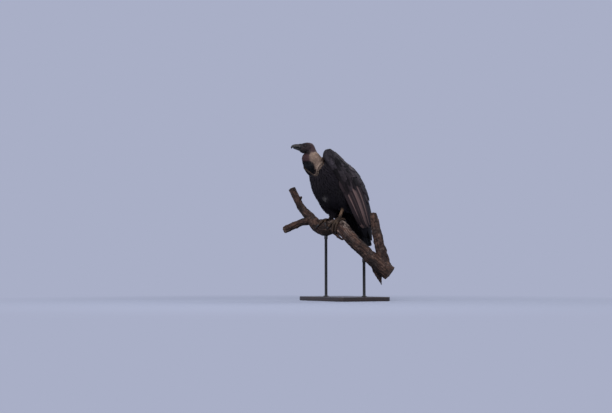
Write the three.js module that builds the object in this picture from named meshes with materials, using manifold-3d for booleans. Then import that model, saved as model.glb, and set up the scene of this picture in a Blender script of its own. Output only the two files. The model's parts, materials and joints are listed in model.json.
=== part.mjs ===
// A white-rumped vulture, life-size, gripping a cut length of dead branch on a plain display stand.
// Millimetres, +Z up. The bird faces -Y with its left side at +X. The origin is the centre of the
// base's underside. The bird's own frame has the same directions, with its origin on the branch
// between the feet.
import * as THREE from "three";
import { mergeVertices } from "three/addons/utils/BufferGeometryUtils.js";
import Module from "manifold-3d";

const wasm = await Module();
wasm.setup();

// ---------- driving dimensions ----------
const GAP = 0.5; // clearance between pieces that meet
const FINENESS = 0.2; // detail smaller than this is dropped where a cut leaves slivers
const FEET_AT = [-46, -20, 455]; // the bird's own origin, over the floor
const BRANCH_TURN = THREE.MathUtils.degToRad(60); // turn of the branch's length from +X, in plan
const HEAD_AT = [0, -148, 386]; // where the head's axis leaves the nape
const HEAD_TURN = THREE.MathUtils.degToRad(-13); // towards the bird's right
const HEAD_LIFT = THREE.MathUtils.degToRad(7);
const TOE_RADIUS = 8;
const EYE_RADIUS = 8.2;
const WRIST_DROP = 26; // the right wrist is held this much lower than the left
const BASE = { length: 460, width: 320, height: 22, corner: 26, bevel: 3 };
const ROD_RADIUS = 8;

// ---------- small tools ----------
const vec = (x, y, z) => new THREE.Vector3(x, y, z);
const smooth = (t) => t * t * (3 - 2 * t);
const named = (keys) => (row) => Object.fromEntries(keys.map((key, i) => [key, row[i]]));
const stations = (...rows) => rows.map(named(["x", "y", "z", "side", "up", "down"]));

// Catmull-Rom through numbers, with t from 0 at the first to 1 at the last.
function through(values, t) {
  const last = values.length - 1;
  const place = Math.min(Math.max(t, 0), 1) * last;
  const i = Math.min(Math.floor(place), last - 1);
  const f = place - i;
  const [a, b, c, d] = [i - 1, i, i + 1, i + 2].map((k) => values[Math.min(Math.max(k, 0), last)]);
  return b + 0.5 * f * (c - a + f * (2 * a - 5 * b + 4 * c - d + f * (3 * (b - c) + d - a)));
}

// A closed three.js geometry as a solid, turned right side out.
function solidOf(geometry) {
  geometry.deleteAttribute("normal");
  geometry.deleteAttribute("uv");
  const merged = mergeVertices(geometry, 1e-4);
  const vertProperties = Float32Array.from(merged.attributes.position.array);
  const triVerts = Uint32Array.from(merged.index.array);
  const made = new wasm.Manifold(new wasm.Mesh({ numProp: 3, vertProperties, triVerts }));
  if (made.volume() > 0) return made;
  for (let i = 0; i < triVerts.length; i += 3) {
    [triVerts[i + 1], triVerts[i + 2]] = [triVerts[i + 2], triVerts[i + 1]];
  }
  return new wasm.Manifold(new wasm.Mesh({ numProp: 3, vertProperties, triVerts }));
}

// A geometry from points and the corners of its triangles.
function geometryOf(points, corners) {
  const flat = points.flatMap((p) => [p.x, p.y, p.z]);
  return new THREE.BufferGeometry()
    .setAttribute("position", new THREE.Float32BufferAttribute(flat, 3))
    .setIndex(corners);
}

// A solid from rings of equal length, closed by a fan at each end.
function loft(rings) {
  const size = rings[0].length;
  const points = rings.flat();
  const corners = [];
  for (let i = 0; i + 1 < rings.length; i++) {
    for (let j = 0; j < size; j++) {
      const [a, b] = [i * size + j, i * size + ((j + 1) % size)];
      corners.push(a, b, b + size, a, b + size, a + size);
    }
  }
  for (const [ring, flip] of [[0, true], [rings.length - 1, false]]) {
    const middle = points.length;
    points.push(rings[ring].reduce((sum, p) => sum.add(p), vec(0, 0, 0)).divideScalar(size));
    for (let j = 0; j < size; j++) {
      const [a, b] = [ring * size + j, ring * size + ((j + 1) % size)];
      corners.push(middle, ...(flip ? [b, a] : [a, b]));
    }
  }
  return solidOf(geometryOf(points, corners));
}

// A rounded solid along stations. Each ring is an ellipse that reaches "side" to both sides of the
// line, "up" over it and "down" under it. "grow" makes it larger all round, as a cutter.
function rounded(list, { steps, sides, across = vec(1, 0, 0), grow = 0 }) {
  const value = (key, t) => through(list.map((s) => s[key]), t);
  const centre = (t) => vec(value("x", t), value("y", t), value("z", t));
  const rings = [];
  for (let i = 0; i <= steps; i++) {
    const t = i / steps;
    const ahead = centre(Math.min(t + 0.01, 1)).sub(centre(Math.max(t - 0.01, 0))).normalize();
    const side = across.clone().addScaledVector(ahead, -across.dot(ahead)).normalize();
    const over = ahead.clone().cross(side);
    const end = i === 0 ? -grow : i === steps ? grow : 0;
    const middle = centre(t).addScaledVector(ahead, end);
    const [wide, up, down] = ["side", "up", "down"].map((key) => value(key, t) + grow);
    rings.push(
      Array.from({ length: sides }, (_, j) => {
        const angle = (j / sides) * 2 * Math.PI;
        const lift = Math.sin(angle) * (Math.sin(angle) > 0 ? up : down);
        return middle.clone().addScaledVector(side, Math.cos(angle) * wide).addScaledVector(over, lift);
      }),
    );
  }
  return loft(rings);
}

// A solid sheet on a surface place(u, v): v from 0 to 1 across, u from "from" to "to" along, which
// may depend on v. It lies "offset" over the surface and reaches "depth" inwards.
function sheet(place, { from, to, depth, offset = 0, rows, columns, grow = 0 }) {
  const step = 0.004;
  const outer = [];
  const inner = [];
  for (let i = 0; i <= rows; i++) {
    for (let j = 0; j <= columns; j++) {
      const v = j / columns;
      const u = from(v) + ((to(v) - from(v)) * i) / rows;
      const along = place(u + step, v).sub(place(u - step, v)).normalize();
      const across = place(u, v + step).sub(place(u, v - step)).normalize();
      const out = across.clone().cross(along).normalize();
      if (out.dot(place.out) < 0) out.negate();
      const p = place(u, v);
      p.addScaledVector(along, i === 0 ? -grow : i === rows ? grow : 0);
      p.addScaledVector(across, j === 0 ? -grow : j === columns ? grow : 0);
      outer.push(p.clone().addScaledVector(out, offset + grow));
      inner.push(p.clone().addScaledVector(out, offset - depth(u, v) - grow));
    }
  }
  const width = columns + 1;
  const under = outer.length;
  const corners = [];
  const quad = (a, b, c, d) => corners.push(a, b, c, a, c, d);
  for (let i = 0; i < rows; i++) {
    for (let j = 0; j < columns; j++) {
      const a = i * width + j;
      quad(a, a + 1, a + 1 + width, a + width);
      quad(under + a, under + a + width, under + a + 1 + width, under + a + 1);
    }
  }
  for (let j = 0; j < columns; j++) {
    const last = rows * width + j;
    quad(j, under + j, under + j + 1, j + 1);
    quad(last, last + 1, under + last + 1, under + last);
  }
  for (let i = 0; i < rows; i++) {
    const [left, right] = [i * width, i * width + columns];
    quad(left, left + width, under + left + width, under + left);
    quad(right, under + right, under + right + width, right + width);
  }
  return solidOf(geometryOf([...outer, ...inner], corners));
}

// A solid less its cutters. Slivers that a cut leaves loose are dropped.
function carve(form, ...cutters) {
  const cut = cutters.reduce((left, cutter) => left.subtract(cutter), form);
  const parts = cut.simplify(FINENESS).decompose();
  return parts.reduce((best, part) => (part.volume() > best.volume() ? part : best));
}

// ---------- trunk, neck and head ----------
// From the tail's root to the base of the neck. "up" is the back and "down" the breast.
const TRUNK = stations(
  [0, 132, 44, 30, 28, 24],
  [0, 96, 84, 62, 76, 58],
  [0, 54, 126, 84, 116, 92],
  [0, 4, 172, 97, 140, 120],
  [0, -46, 218, 97, 136, 113],
  [0, -88, 262, 92, 114, 82],
  [0, -114, 292, 76, 82, 58],
);
const trunkForm = (grow = 0) => rounded(TRUNK, { steps: 12, sides: 20, grow });

// From inside the breast up to the nape. "up" is the hind neck, and "down" the crop and throat.
const NECK = stations(
  [0, -112, 262, 60, 54, 60],
  [0, -138, 292, 59, 58, 62],
  [0, -158, 318, 52, 58, 54],
  [0, -168, 338, 45, 54, 47],
  [0, -166, 358, 36, 45, 33],
  [0, -158, 378, 27, 31, 27],
);
const neckForm = (grow = 0) => rounded(NECK, { steps: 6, sides: 16, grow });

// The collar of downy ruff feathers, a leaning ring at the foot of the neck.
const COLLAR_SIDES = 6;
function ruffForm(grow = 0) {
  const around = 16;
  const rings = Array.from({ length: around }, (_, i) => {
    const turn = (i / around) * 2 * Math.PI;
    const back = (1 + Math.cos(turn)) / 2; // 1 at the hind neck, 0 under the crop
    const middle = vec(Math.sin(turn) * 67, -123 + Math.cos(turn) * 38, 289 + Math.cos(turn) * 41);
    const [tall, thick] = [9 + 7 * back + grow, 9 + 8 * back + grow];
    const out = vec(Math.sin(turn), Math.cos(turn) * 0.68, Math.cos(turn) * 0.73).normalize();
    const over = vec(0, -0.73, 0.68);
    return Array.from({ length: COLLAR_SIDES }, (_, j) => {
      const a = (j / COLLAR_SIDES) * 2 * Math.PI;
      return middle
        .clone()
        .addScaledVector(out, Math.cos(a) * thick)
        .addScaledVector(over, Math.sin(a) * tall);
    });
  });
  const points = rings.flat();
  const corners = [];
  for (let i = 0; i < around; i++) {
    for (let j = 0; j < COLLAR_SIDES; j++) {
      const [ring, next] = [i * COLLAR_SIDES, ((i + 1) % around) * COLLAR_SIDES];
      const beside = (j + 1) % COLLAR_SIDES;
      corners.push(ring + j, ring + beside, next + beside, ring + j, next + beside, next + j);
    }
  }
  return solidOf(geometryOf(points, corners));
}

// Head pieces are made along -Y from the occiput, then lifted, turned and set on the nape.
const headMatrix = new THREE.Matrix4()
  .makeTranslation(...HEAD_AT)
  .multiply(new THREE.Matrix4().makeRotationZ(HEAD_TURN))
  .multiply(new THREE.Matrix4().makeRotationX(-HEAD_LIFT));
const onHead = (form) => form.transform(headMatrix.elements);
const headStations = (...rows) => stations(...rows.map(([h, z, ...sizes]) => [0, -h, z, ...sizes]));

const HEAD = headStations(
  [-5, -6, 3, 4, 4],
  [4, -4, 18, 21, 16],
  [17, -3, 25, 28, 25],
  [31, -4, 27, 31.5, 30],
  [45, -6, 26, 32, 31],
  [58, -8, 21, 29.5, 30],
  [70, -10, 15.5, 26, 24],
);
const headForm = (grow = 0) => onHead(rounded(HEAD, { steps: 9, sides: 16, grow }));

// The stations follow the cutting edge. "up" reaches the culmen, which bends down into the hook.
const UPPER_BILL = headStations(
  [66, -11, 14.2, 25.5, 3],
  [77, -10, 13.4, 22.5, 3],
  [88, -9.5, 12, 18.8, 3],
  [99, -10, 10.2, 15.5, 3],
  [109, -11, 8.2, 12.4, 3],
  [117, -13, 5.8, 9, 2.8],
  [121.5, -17, 3.6, 5, 2.2],
  [122.5, -22, 1, 1.5, 1],
);
const upperBillForm = (grow = 0) => onHead(rounded(UPPER_BILL, { steps: 10, sides: 12, grow }));

const LOWER_BILL = headStations(
  [60, -20, 11.6, 7, 9],
  [75, -19.5, 11.4, 7, 8],
  [88, -19, 9.6, 7, 6],
  [100, -18.5, 7.4, 6.2, 4.4],
  [109, -18, 5, 5, 3],
  [114, -17.6, 2, 2.4, 1.6],
);
const lowerBillForm = (grow = 0) => onHead(rounded(LOWER_BILL, { steps: 5, sides: 10, grow }));

const EYE_PLACE = [18.6, -51, 4]; // of the left eye's centre, on the head
function eyeForm(sign, grow = 0) {
  const ball = new THREE.SphereGeometry(EYE_RADIUS + grow, 10, 7);
  return onHead(solidOf(ball).translate([sign * EYE_PLACE[0], EYE_PLACE[1], EYE_PLACE[2]]));
}

// ---------- wings and tail ----------
// The left wing, folded, from the wrist at the shoulder's hump to the tips over the tail: its front
// edge along the flank, its rear edge along the back, and how far it bows outwards between them.
const WING = [
  [[88, -113, 371], [74, -84, 377], 1],
  [[97, -130, 334], [60, -30, 357], 12],
  [[105, -92, 266], [50, 36, 316], 22],
  [[110, -42, 196], [34, 110, 275], 26],
  [[106, 12, 112], [28, 168, 202], 25],
  [[92, 68, 30], [26, 207, 106], 21],
  [[68, 134, -60], [27, 231, -6], 14],
  [[42, 206, -142], [25, 240, -130], 3],
].map(named(["front", "rear", "bow"]));

// The surface of the folded wing on one side. The wrist settles down by "drop".
function wingSurface(sign, drop) {
  const value = (key, axis, at) => through(WING.map((s) => s[key][axis]), at);
  const edge = (key, at) => vec(...[0, 1, 2].map((axis) => value(key, axis, at)));
  function place(u, v) {
    const [front, rear] = [edge("front", u), edge("rear", u)];
    const ahead = edge("front", u + 0.02).add(edge("rear", u + 0.02));
    ahead.sub(edge("front", u - 0.02)).sub(edge("rear", u - 0.02));
    const out = rear.clone().sub(front).cross(ahead).normalize();
    if (out.x < 0) out.negate();
    const bow = through(WING.map((s) => s.bow), u) * 4 * v * (1 - v);
    const p = front.lerp(rear, v).addScaledVector(out, bow);
    return vec(sign * p.x, p.y, p.z - drop * (1 - smooth(Math.min(Math.max(2 * u, 0), 1))));
  }
  place.out = vec(sign, 0.3, 0.2);
  return place;
}
const WINGS = { left: wingSurface(1, 0), right: wingSurface(-1, WRIST_DROP) };

// The ends of a row of feathers: "count" rounded tips, each "size" long, along a straight edge.
function tips(edge, count, size) {
  return (v) => edge(v) + size * Math.sqrt(Math.abs(Math.sin(Math.PI * count * v)));
}

// The coverts are thick over the folded arm and thin at their ends and along both edges.
function armDepth(u, v) {
  const belly = Math.sin(Math.PI * (0.08 + 0.84 * v)) ** 0.6;
  return 6 + 34 * belly * smooth(Math.min(1, 1.5 - 2 * u));
}

const covertsForm = (hand, grow = 0) =>
  sheet(WINGS[hand], {
    from: () => 0.004,
    to: tips((v) => 0.5 + 0.04 * v, 6, 0.018),
    depth: armDepth,
    rows: 5,
    columns: 12,
    grow,
  });
const secondariesForm = (hand, grow = 0) =>
  sheet(WINGS[hand], {
    from: () => 0.47,
    to: tips((v) => 0.8 + 0.07 * v, 7, 0.022),
    depth: () => 8,
    offset: -1.5,
    rows: 3,
    columns: 14,
    grow,
  });
const primariesForm = (hand, grow = 0) =>
  sheet(WINGS[hand], {
    from: () => 0.62,
    to: tips((v) => 0.955 + 0.025 * v, 4, 0.02),
    depth: () => 7,
    offset: -11.6,
    rows: 3,
    columns: 8,
    grow,
  });

// The tail: u from its root to its tip, v from the bird's right edge to its left.
function tailPlace(u, v) {
  const span = 2 * v - 1;
  const arch = 5 * (1 - span ** 2);
  return vec(span * (26 + 18 * smooth(u)), 120 + 92 * u ** 0.7 + arch, 76 - 232 * u + arch * 0.3);
}
tailPlace.out = vec(0, 1, 0.3);
const tailForm = (grow = 0) =>
  sheet(tailPlace, {
    from: () => 0.03,
    to: tips((v) => 0.955 + 0.02 * Math.sin(Math.PI * v), 7, 0.022),
    depth: () => 7,
    rows: 3,
    columns: 14,
    grow,
  });

// ---------- legs ----------
// Feathered thighs from the hip down to the heel. On these falling lines "up" is the front.
const THIGHS = {
  left: stations(
    [60, -12, 176, 42, 60, 60],
    [62, -6, 134, 41, 54, 54],
    [60, 2, 104, 35, 42, 42],
    [54, 14, 84, 26, 30, 27],
    [48, 24, 66, 17, 20, 17],
    [45, 27, 50, 9, 10, 9],
  ),
  right: stations(
    [-60, -24, 176, 42, 60, 60],
    [-62, -26, 130, 41, 56, 54],
    [-59, -22, 94, 36, 48, 42],
    [-55, -12, 64, 28, 36, 30],
    [-50, 0, 40, 20, 23, 22],
    [-47, 2, 18, 12, 13, 13],
  ),
};
const thighForm = (hand, grow = 0) => rounded(THIGHS[hand], { steps: 6, sides: 10, grow });

// ---------- branch ----------
// Branch places are given along its length in plan, away behind it, and up from the feet.
const along = vec(Math.cos(BRANCH_TURN), Math.sin(BRANCH_TURN), 0);
const away = vec(-Math.sin(BRANCH_TURN), Math.cos(BRANCH_TURN), 0);
const onBranch = (right, back, up) =>
  along.clone().multiplyScalar(right).addScaledVector(away, back).add(vec(0, 0, up));
function wood(...rows) {
  return rows.map(([right, back, up, side, thick = side]) => {
    const p = onBranch(right, back, up);
    return { x: p.x, y: p.y, z: p.z, side, up: thick, down: thick };
  });
}

const LIMB = wood(
  [-128, 56, 2, 26],
  [-107, 48, -28, 31],
  [-84, 38, -49, 38],
  [-56, 24, -54, 42],
  [-28, 20, -46, 41],
  [0, 0, -41, 40],
  [28, -26, -50, 39],
  [62, -52, -91, 37],
  [105, -74, -140, 36],
  [149, -94, -183, 36],
  [186, -108, -220, 38],
  [234, -124, -263, 40],
  [287, -140, -306, 43],
);
const PRONG = wood(
  [-118, 56, -6, 26],
  [-145, 62, 22, 25],
  [-177, 70, 49, 23.5],
  [-208, 80, 95, 21.5],
  [-228, 88, 136, 20],
  [-249, 96, 179, 18],
);
const TWIG = wood(
  [-128, 64, 0, 19],
  [-196, 52, -19, 19.5],
  [-247, 40, -41, 19],
  [-289, 26, -61, 18.5],
);
const STUB = wood(
  [270, -130, -276, 27],
  [255, -120, -222, 29],
  [244, -113, -180, 25.5],
  [234, -106, -124, 22],
  [221, -98, -52, 18.5],
  [211, -92, 26, 16.5],
);
const KNOB = wood([-214, 80, 112, 10], [-200, 78, 124, 8], [-190, 78, 133, 3]);
const BARK_SPIKE = wood(
  [206, -112, -236, 26, 14],
  [208, -108, -270, 22, 12],
  [219, -106, -312, 15, 9],
  [238, -106, -369, 2, 2],
);
const SPLINTER = wood([-12, -8, -66, 7], [6, -28, -93, 6], [22, -38, -112, 5], [44, -50, -121, 1.6]);

const level = vec(0, 0, 1);
const tube = (list, steps, sides, across, grow) => rounded(list, { steps, sides, across, grow });
const BRANCH = {
  limb: (grow = 0) =>
    tube(LIMB, 13, 11, level, grow)
      .add(tube(BARK_SPIKE, 4, 8, along, grow))
      .add(tube(SPLINTER, 4, 6, away, grow)),
  prong: (grow = 0) => tube(PRONG, 5, 9, level, grow).add(tube(KNOB, 2, 7, level, grow)),
  twig: (grow = 0) => tube(TWIG, 4, 9, level, grow),
  stub: (grow = 0) => tube(STUB, 4, 9, away, grow),
};

// ---------- feet ----------
// The limb's own line near the feet: its direction in plan, and its centre and radius there.
const gripLine = vec(LIMB[5].x - LIMB[4].x, LIMB[5].y - LIMB[4].y, 0).normalize();
const gripAcross = vec(-gripLine.y, gripLine.x, 0);
function limbAt(reach) {
  let [low, high] = [0, 1];
  const value = (key, t) => through(LIMB.map((s) => s[key]), t);
  const centre = (t) => vec(value("x", t), value("y", t), value("z", t));
  for (let i = 0; i < 24; i++) {
    const middle = (low + high) / 2;
    if (centre(middle).dot(gripLine) < reach) low = middle;
    else high = middle;
  }
  const ahead = centre(low + 0.01).sub(centre(low - 0.01)).normalize();
  return { centre: centre(low), over: ahead.cross(gripAcross).normalize(), radius: value("side", low) };
}

// A point on the limb, "forward" millimetres from a foot's middle on a heading, "lift" over the bark.
function overLimb(foot, heading, forward, lift) {
  const start = vec(foot[0], foot[1], 0);
  const { centre, over, radius } = limbAt(start.dot(gripLine) + forward * heading.dot(gripLine));
  const aside = start.sub(vec(centre.x, centre.y, 0)).dot(gripAcross);
  const turn = (aside + forward * heading.dot(gripAcross)) / radius;
  return centre
    .addScaledVector(gripAcross, Math.sin(turn) * (radius + lift))
    .addScaledVector(over, Math.cos(turn) * (radius + lift));
}

const FEET = { left: [40, -10], right: [-46, -4] };
const HANDS = { left: 1, right: -1 };
// Each toe: its heading from straight ahead in degrees, outwards positive, its length, its claw's
// length and its thickness as a share of the middle toe's.
const TOES = [
  { name: "hind", heading: 196, length: 40, claw: 27, size: 0.95 },
  { name: "inner", heading: -30, length: 60, claw: 27, size: 0.95 },
  { name: "middle", heading: 3, length: 88, claw: 26, size: 1 },
  { name: "outer", heading: 34, length: 66, claw: 22, size: 0.88 },
];

function toeHeading(hand, degrees) {
  const turn = THREE.MathUtils.degToRad(degrees) * HANDS[hand];
  return vec(Math.sin(turn), -Math.cos(turn), 0);
}

function toeForm(hand, toe, grow = 0) {
  const heading = toeHeading(hand, toe.heading);
  const thick = TOE_RADIUS * toe.size;
  const list = [0, 0.22, 0.45, 0.68, 0.9, 1].map((share, i) => {
    const size = thick * [1.15, 1, 0.92, 0.86, 0.8, 0.55][i];
    const p = overLimb(FEET[hand], heading, share * toe.length, size + GAP);
    return { x: p.x, y: p.y, z: p.z, side: size, up: size, down: size };
  });
  return rounded(list, { steps: 4, sides: 6, across: gripLine, grow });
}

function clawForm(hand, toe, grow = 0) {
  const heading = toeHeading(hand, toe.heading);
  const list = [0.03, 0.25, 0.5, 0.78, 1].map((share, i) => {
    const size = [4.6, 4.4, 3.6, 2.4, 0.7][i] * toe.size;
    const lift = [6.2, 7, 6.4, 4.4, 1.6][i];
    const p = overLimb(FEET[hand], heading, toe.length + share * toe.claw, lift);
    return { x: p.x, y: p.y, z: p.z, side: size, up: size, down: size };
  });
  return rounded(list, { steps: 4, sides: 5, across: gripLine, grow });
}

function palmForm(hand, grow = 0) {
  const p = overLimb(FEET[hand], toeHeading(hand, 0), -1, 12);
  const ball = new THREE.SphereGeometry(1, 10, 6).scale(14 + grow, 16 + grow, 11 + grow);
  return solidOf(ball.translate(p.x, p.y, p.z));
}

const footForm = (hand, grow = 0) =>
  TOES.map((toe) => toeForm(hand, toe, grow)).reduce((whole, toe) => whole.add(toe), palmForm(hand, grow));

const HEELS = { left: [44, 29, 88], right: [-47, 30, 90] };
function tarsusForm(hand, grow = 0) {
  const foot = overLimb(FEET[hand], toeHeading(hand, 0), -2, 9);
  const heel = vec(...HEELS[hand]);
  const list = [0, 0.3, 0.6, 0.85, 1].map((share, i) => {
    const p = foot.clone().lerp(heel, share);
    const [side, deep] = [[8.5, 8.5], [6.8, 7.6], [6.6, 7.8], [7.6, 9], [6, 6]][i];
    return { x: p.x, y: p.y, z: p.z, side, up: deep, down: deep };
  });
  return rounded(list, { steps: 4, sides: 10, grow });
}

// ---------- display stand ----------
function baseForm() {
  const [x, y, r] = [BASE.length / 2 - BASE.bevel, BASE.width / 2 - BASE.bevel, BASE.corner];
  const outline = new THREE.Shape();
  outline.moveTo(-x + r, -y);
  outline.lineTo(x - r, -y).absarc(x - r, -y + r, r, -Math.PI / 2, 0);
  outline.lineTo(x, y - r).absarc(x - r, y - r, r, 0, Math.PI / 2);
  outline.lineTo(-x + r, y).absarc(-x + r, y - r, r, Math.PI / 2, Math.PI);
  outline.lineTo(-x, -y + r).absarc(-x + r, -y + r, r, Math.PI, 1.5 * Math.PI);
  const slab = new THREE.ExtrudeGeometry(outline, {
    depth: BASE.height - 2 * BASE.bevel,
    bevelThickness: BASE.bevel,
    bevelSize: BASE.bevel,
    bevelSegments: 1,
    curveSegments: 4,
  });
  return solidOf(slab.translate(0, 0, BASE.bevel));
}

// A rod from the base's top into the limb over it, in the bird's frame.
function rodForm(station) {
  const [bottom, top] = [BASE.height + GAP - FEET_AT[2], station.z];
  const rod = new THREE.CylinderGeometry(ROD_RADIUS, ROD_RADIUS, top - bottom, 20).rotateX(Math.PI / 2);
  return solidOf(rod.translate(station.x, station.y, (top + bottom) / 2));
}

// ---------- the parts, each cut clear of those that it meets ----------
const finish = (color, roughness) =>
  new THREE.MeshStandardMaterial({ color, roughness, metalness: 0 });
const FINISHES = {
  plumage: finish(0x2a2629, 0.8),
  coverts: finish(0x3b383e, 0.75),
  quills: finish(0x55483f, 0.65),
  down: finish(0xcbb9a4, 0.95),
  face: finish(0x5c4646, 0.7),
  bill: finish(0x6f7073, 0.45),
  eye: finish(0x2a1a10, 0.1),
  leg: finish(0x6b5a50, 0.7),
  claw: finish(0x1e1c1b, 0.4),
  wood: finish(0x6a5850, 0.9),
  stand: finish(0x1c1c1d, 0.5),
};

const group = new THREE.Group();
const bird = new THREE.Group();
bird.position.set(...FEET_AT);
group.add(bird);

function place(parent, name, form, material) {
  const { numProp, numVert, vertProperties, triVerts } = form.getMesh();
  const points = new Float32Array(numVert * 3);
  for (let i = 0; i < numVert; i++) {
    points.set(vertProperties.subarray(i * numProp, i * numProp + 3), i * 3);
  }
  const geometry = new THREE.BufferGeometry()
    .setAttribute("position", new THREE.BufferAttribute(points, 3))
    .setIndex(new THREE.BufferAttribute(triVerts, 1));
  geometry.computeVertexNormals();
  const mesh = new THREE.Mesh(geometry, material);
  mesh.name = name;
  parent.add(mesh);
}

const grownTrunk = trunkForm(GAP);
const grownNeck = neckForm(GAP);
const grownHead = headForm(GAP);
const grownLimb = BRANCH.limb(GAP);
const grownProng = BRANCH.prong(GAP);
const grownBranch = grownLimb.add(grownProng);
const grownTail = tailForm(GAP);
const grownRuff = ruffForm(GAP);

place(bird, "trunk", trunkForm(), FINISHES.plumage);
place(bird, "ruff", carve(ruffForm(), grownTrunk, grownNeck), FINISHES.down);
place(bird, "neck", carve(neckForm(), grownTrunk, grownHead), FINISHES.face);
place(bird, "head", carve(headForm(), eyeForm(1, GAP), eyeForm(-1, GAP)), FINISHES.face);
place(bird, "bill_upper", carve(upperBillForm(), grownHead), FINISHES.bill);
place(bird, "bill_lower", carve(lowerBillForm(), grownHead, upperBillForm(GAP)), FINISHES.bill);
place(bird, "tail", carve(tailForm(), grownTrunk), FINISHES.quills);

for (const [hand, sign] of Object.entries(HANDS)) {
  const grownThigh = thighForm(hand, GAP);
  const grownTarsus = tarsusForm(hand, GAP);
  place(bird, `eye_${hand}`, eyeForm(sign), FINISHES.eye);
  place(bird, `thigh_${hand}`, carve(thighForm(hand), grownTrunk, grownTarsus), FINISHES.plumage);
  place(bird, `tarsus_${hand}`, carve(tarsusForm(hand), grownTrunk, footForm(hand, GAP)), FINISHES.leg);
  place(bird, `foot_${hand}`, carve(footForm(hand), grownBranch), FINISHES.leg);
  for (const toe of TOES) {
    const claw = carve(clawForm(hand, toe), toeForm(hand, toe, GAP), grownBranch);
    place(bird, `claw_${hand}_${toe.name}`, claw, FINISHES.claw);
  }
  const body = grownTrunk.add(grownThigh);
  const coverts = covertsForm(hand, GAP);
  const over = coverts.add(secondariesForm(hand, GAP));
  const wing = {
    coverts: carve(covertsForm(hand), body, grownNeck, grownRuff),
    secondaries: carve(secondariesForm(hand), body, coverts, grownTail),
    primaries: carve(primariesForm(hand), body, over, grownTail),
  };
  place(bird, `wing_${hand}_coverts`, wing.coverts, FINISHES.coverts);
  place(bird, `wing_${hand}_secondaries`, wing.secondaries, FINISHES.quills);
  place(bird, `wing_${hand}_primaries`, wing.primaries, FINISHES.quills);
}

place(bird, "branch_limb", BRANCH.limb(), FINISHES.wood);
place(bird, "branch_prong", carve(BRANCH.prong(), grownLimb), FINISHES.wood);
place(bird, "branch_twig", carve(BRANCH.twig(), grownLimb, grownProng), FINISHES.wood);
place(bird, "branch_stub", carve(BRANCH.stub(), grownLimb), FINISHES.wood);
place(group, "stand_base", baseForm(), FINISHES.stand);
place(bird, "stand_rod_left", carve(rodForm(LIMB[3]), grownLimb), FINISHES.stand);
place(bird, "stand_rod_right", carve(rodForm(LIMB[9]), grownLimb), FINISHES.stand);

export default group;
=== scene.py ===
"""A white-rumped vulture gripping a cut length of dead branch on a plain display stand.

Forms are worked out in millimetres in the bird's own frame: the bird faces -Y, its left side is at
+X, and the origin is on the branch between its feet. A mesh is set in metres in the row's frame.
"""

import json
import math

import bpy
import numpy as np
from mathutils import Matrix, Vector

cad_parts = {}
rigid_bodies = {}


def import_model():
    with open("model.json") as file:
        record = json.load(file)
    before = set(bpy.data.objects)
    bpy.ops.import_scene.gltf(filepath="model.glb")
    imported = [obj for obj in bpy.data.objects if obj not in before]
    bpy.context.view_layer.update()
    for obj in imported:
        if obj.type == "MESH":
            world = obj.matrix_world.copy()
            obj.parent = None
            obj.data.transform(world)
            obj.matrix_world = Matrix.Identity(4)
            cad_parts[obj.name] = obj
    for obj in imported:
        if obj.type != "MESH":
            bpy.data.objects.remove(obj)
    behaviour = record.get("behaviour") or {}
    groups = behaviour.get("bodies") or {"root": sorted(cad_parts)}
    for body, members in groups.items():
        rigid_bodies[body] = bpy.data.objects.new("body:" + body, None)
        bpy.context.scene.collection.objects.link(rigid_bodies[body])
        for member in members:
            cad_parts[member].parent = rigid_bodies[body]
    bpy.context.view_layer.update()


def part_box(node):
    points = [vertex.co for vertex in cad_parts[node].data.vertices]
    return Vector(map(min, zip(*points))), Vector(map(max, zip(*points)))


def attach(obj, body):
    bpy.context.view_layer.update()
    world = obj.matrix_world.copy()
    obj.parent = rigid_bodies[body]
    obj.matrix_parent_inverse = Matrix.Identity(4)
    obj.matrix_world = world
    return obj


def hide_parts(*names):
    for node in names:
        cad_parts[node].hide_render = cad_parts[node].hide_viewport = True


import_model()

MM = 0.001
TURN = 2 * math.pi
TRUNK_LOW = np.array([-98.1, -158.0, 28.0])  # the trunk's lowest corner in the bird's frame
ORIGIN = np.array(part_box("trunk")[0]) - MM * TRUNK_LOW
LEAST_REACH = 0.4  # a rounded form's slice is never thinner to any side

# Large odd numbers that stir the whole numbers of a lattice's corner.
AXIS_STIRS = (374761393, 668265263, 2147483647)
SEED_STIR, LAST_STIR = 1274126177, 1103515245
LOW_32_BITS, LOW_16_BITS = 0xFFFFFFFF, 0xFFFF


# ---------- numbers ----------
def smooth(t):
    """0 below 0, 1 above 1, and an even rise between."""
    t = np.clip(t, 0, 1)
    return t * t * (3 - 2 * t)


def step_between(low, high, x):
    """0 at low, 1 at high, and an even rise between, held past both. High may be under low."""
    return smooth((np.asarray(x, float) - low) / (high - low))


def bump(x, middle, width):
    """A bell of height 1 round the middle: e to the power of minus the square of widths away from it."""
    return np.exp(-(((x - middle) / width) ** 2))


def signed_power(x, power):
    """The size of x raised to a power, with the sign of x."""
    return np.sign(x) * np.abs(x) ** power


def unit(v):
    """Vectors brought to a length of 1."""
    return v / np.maximum(np.linalg.norm(v, axis=-1, keepdims=True), 1e-9)


def dot(a, b):
    """The dot product of vectors, with the last axis kept."""
    return np.sum(a * b, axis=-1, keepdims=True)


def square_to(line, way):
    """The direction nearest to a way that is square to a line: the way less its part along the line."""
    return unit(way - line * dot(way, line))


def close_to(points, place, reach):
    """1 at a place and less away from it, by a bell of the distance over the reach."""
    return bump(np.linalg.norm((points - place) / reach, axis=-1), 0, 1)


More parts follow.
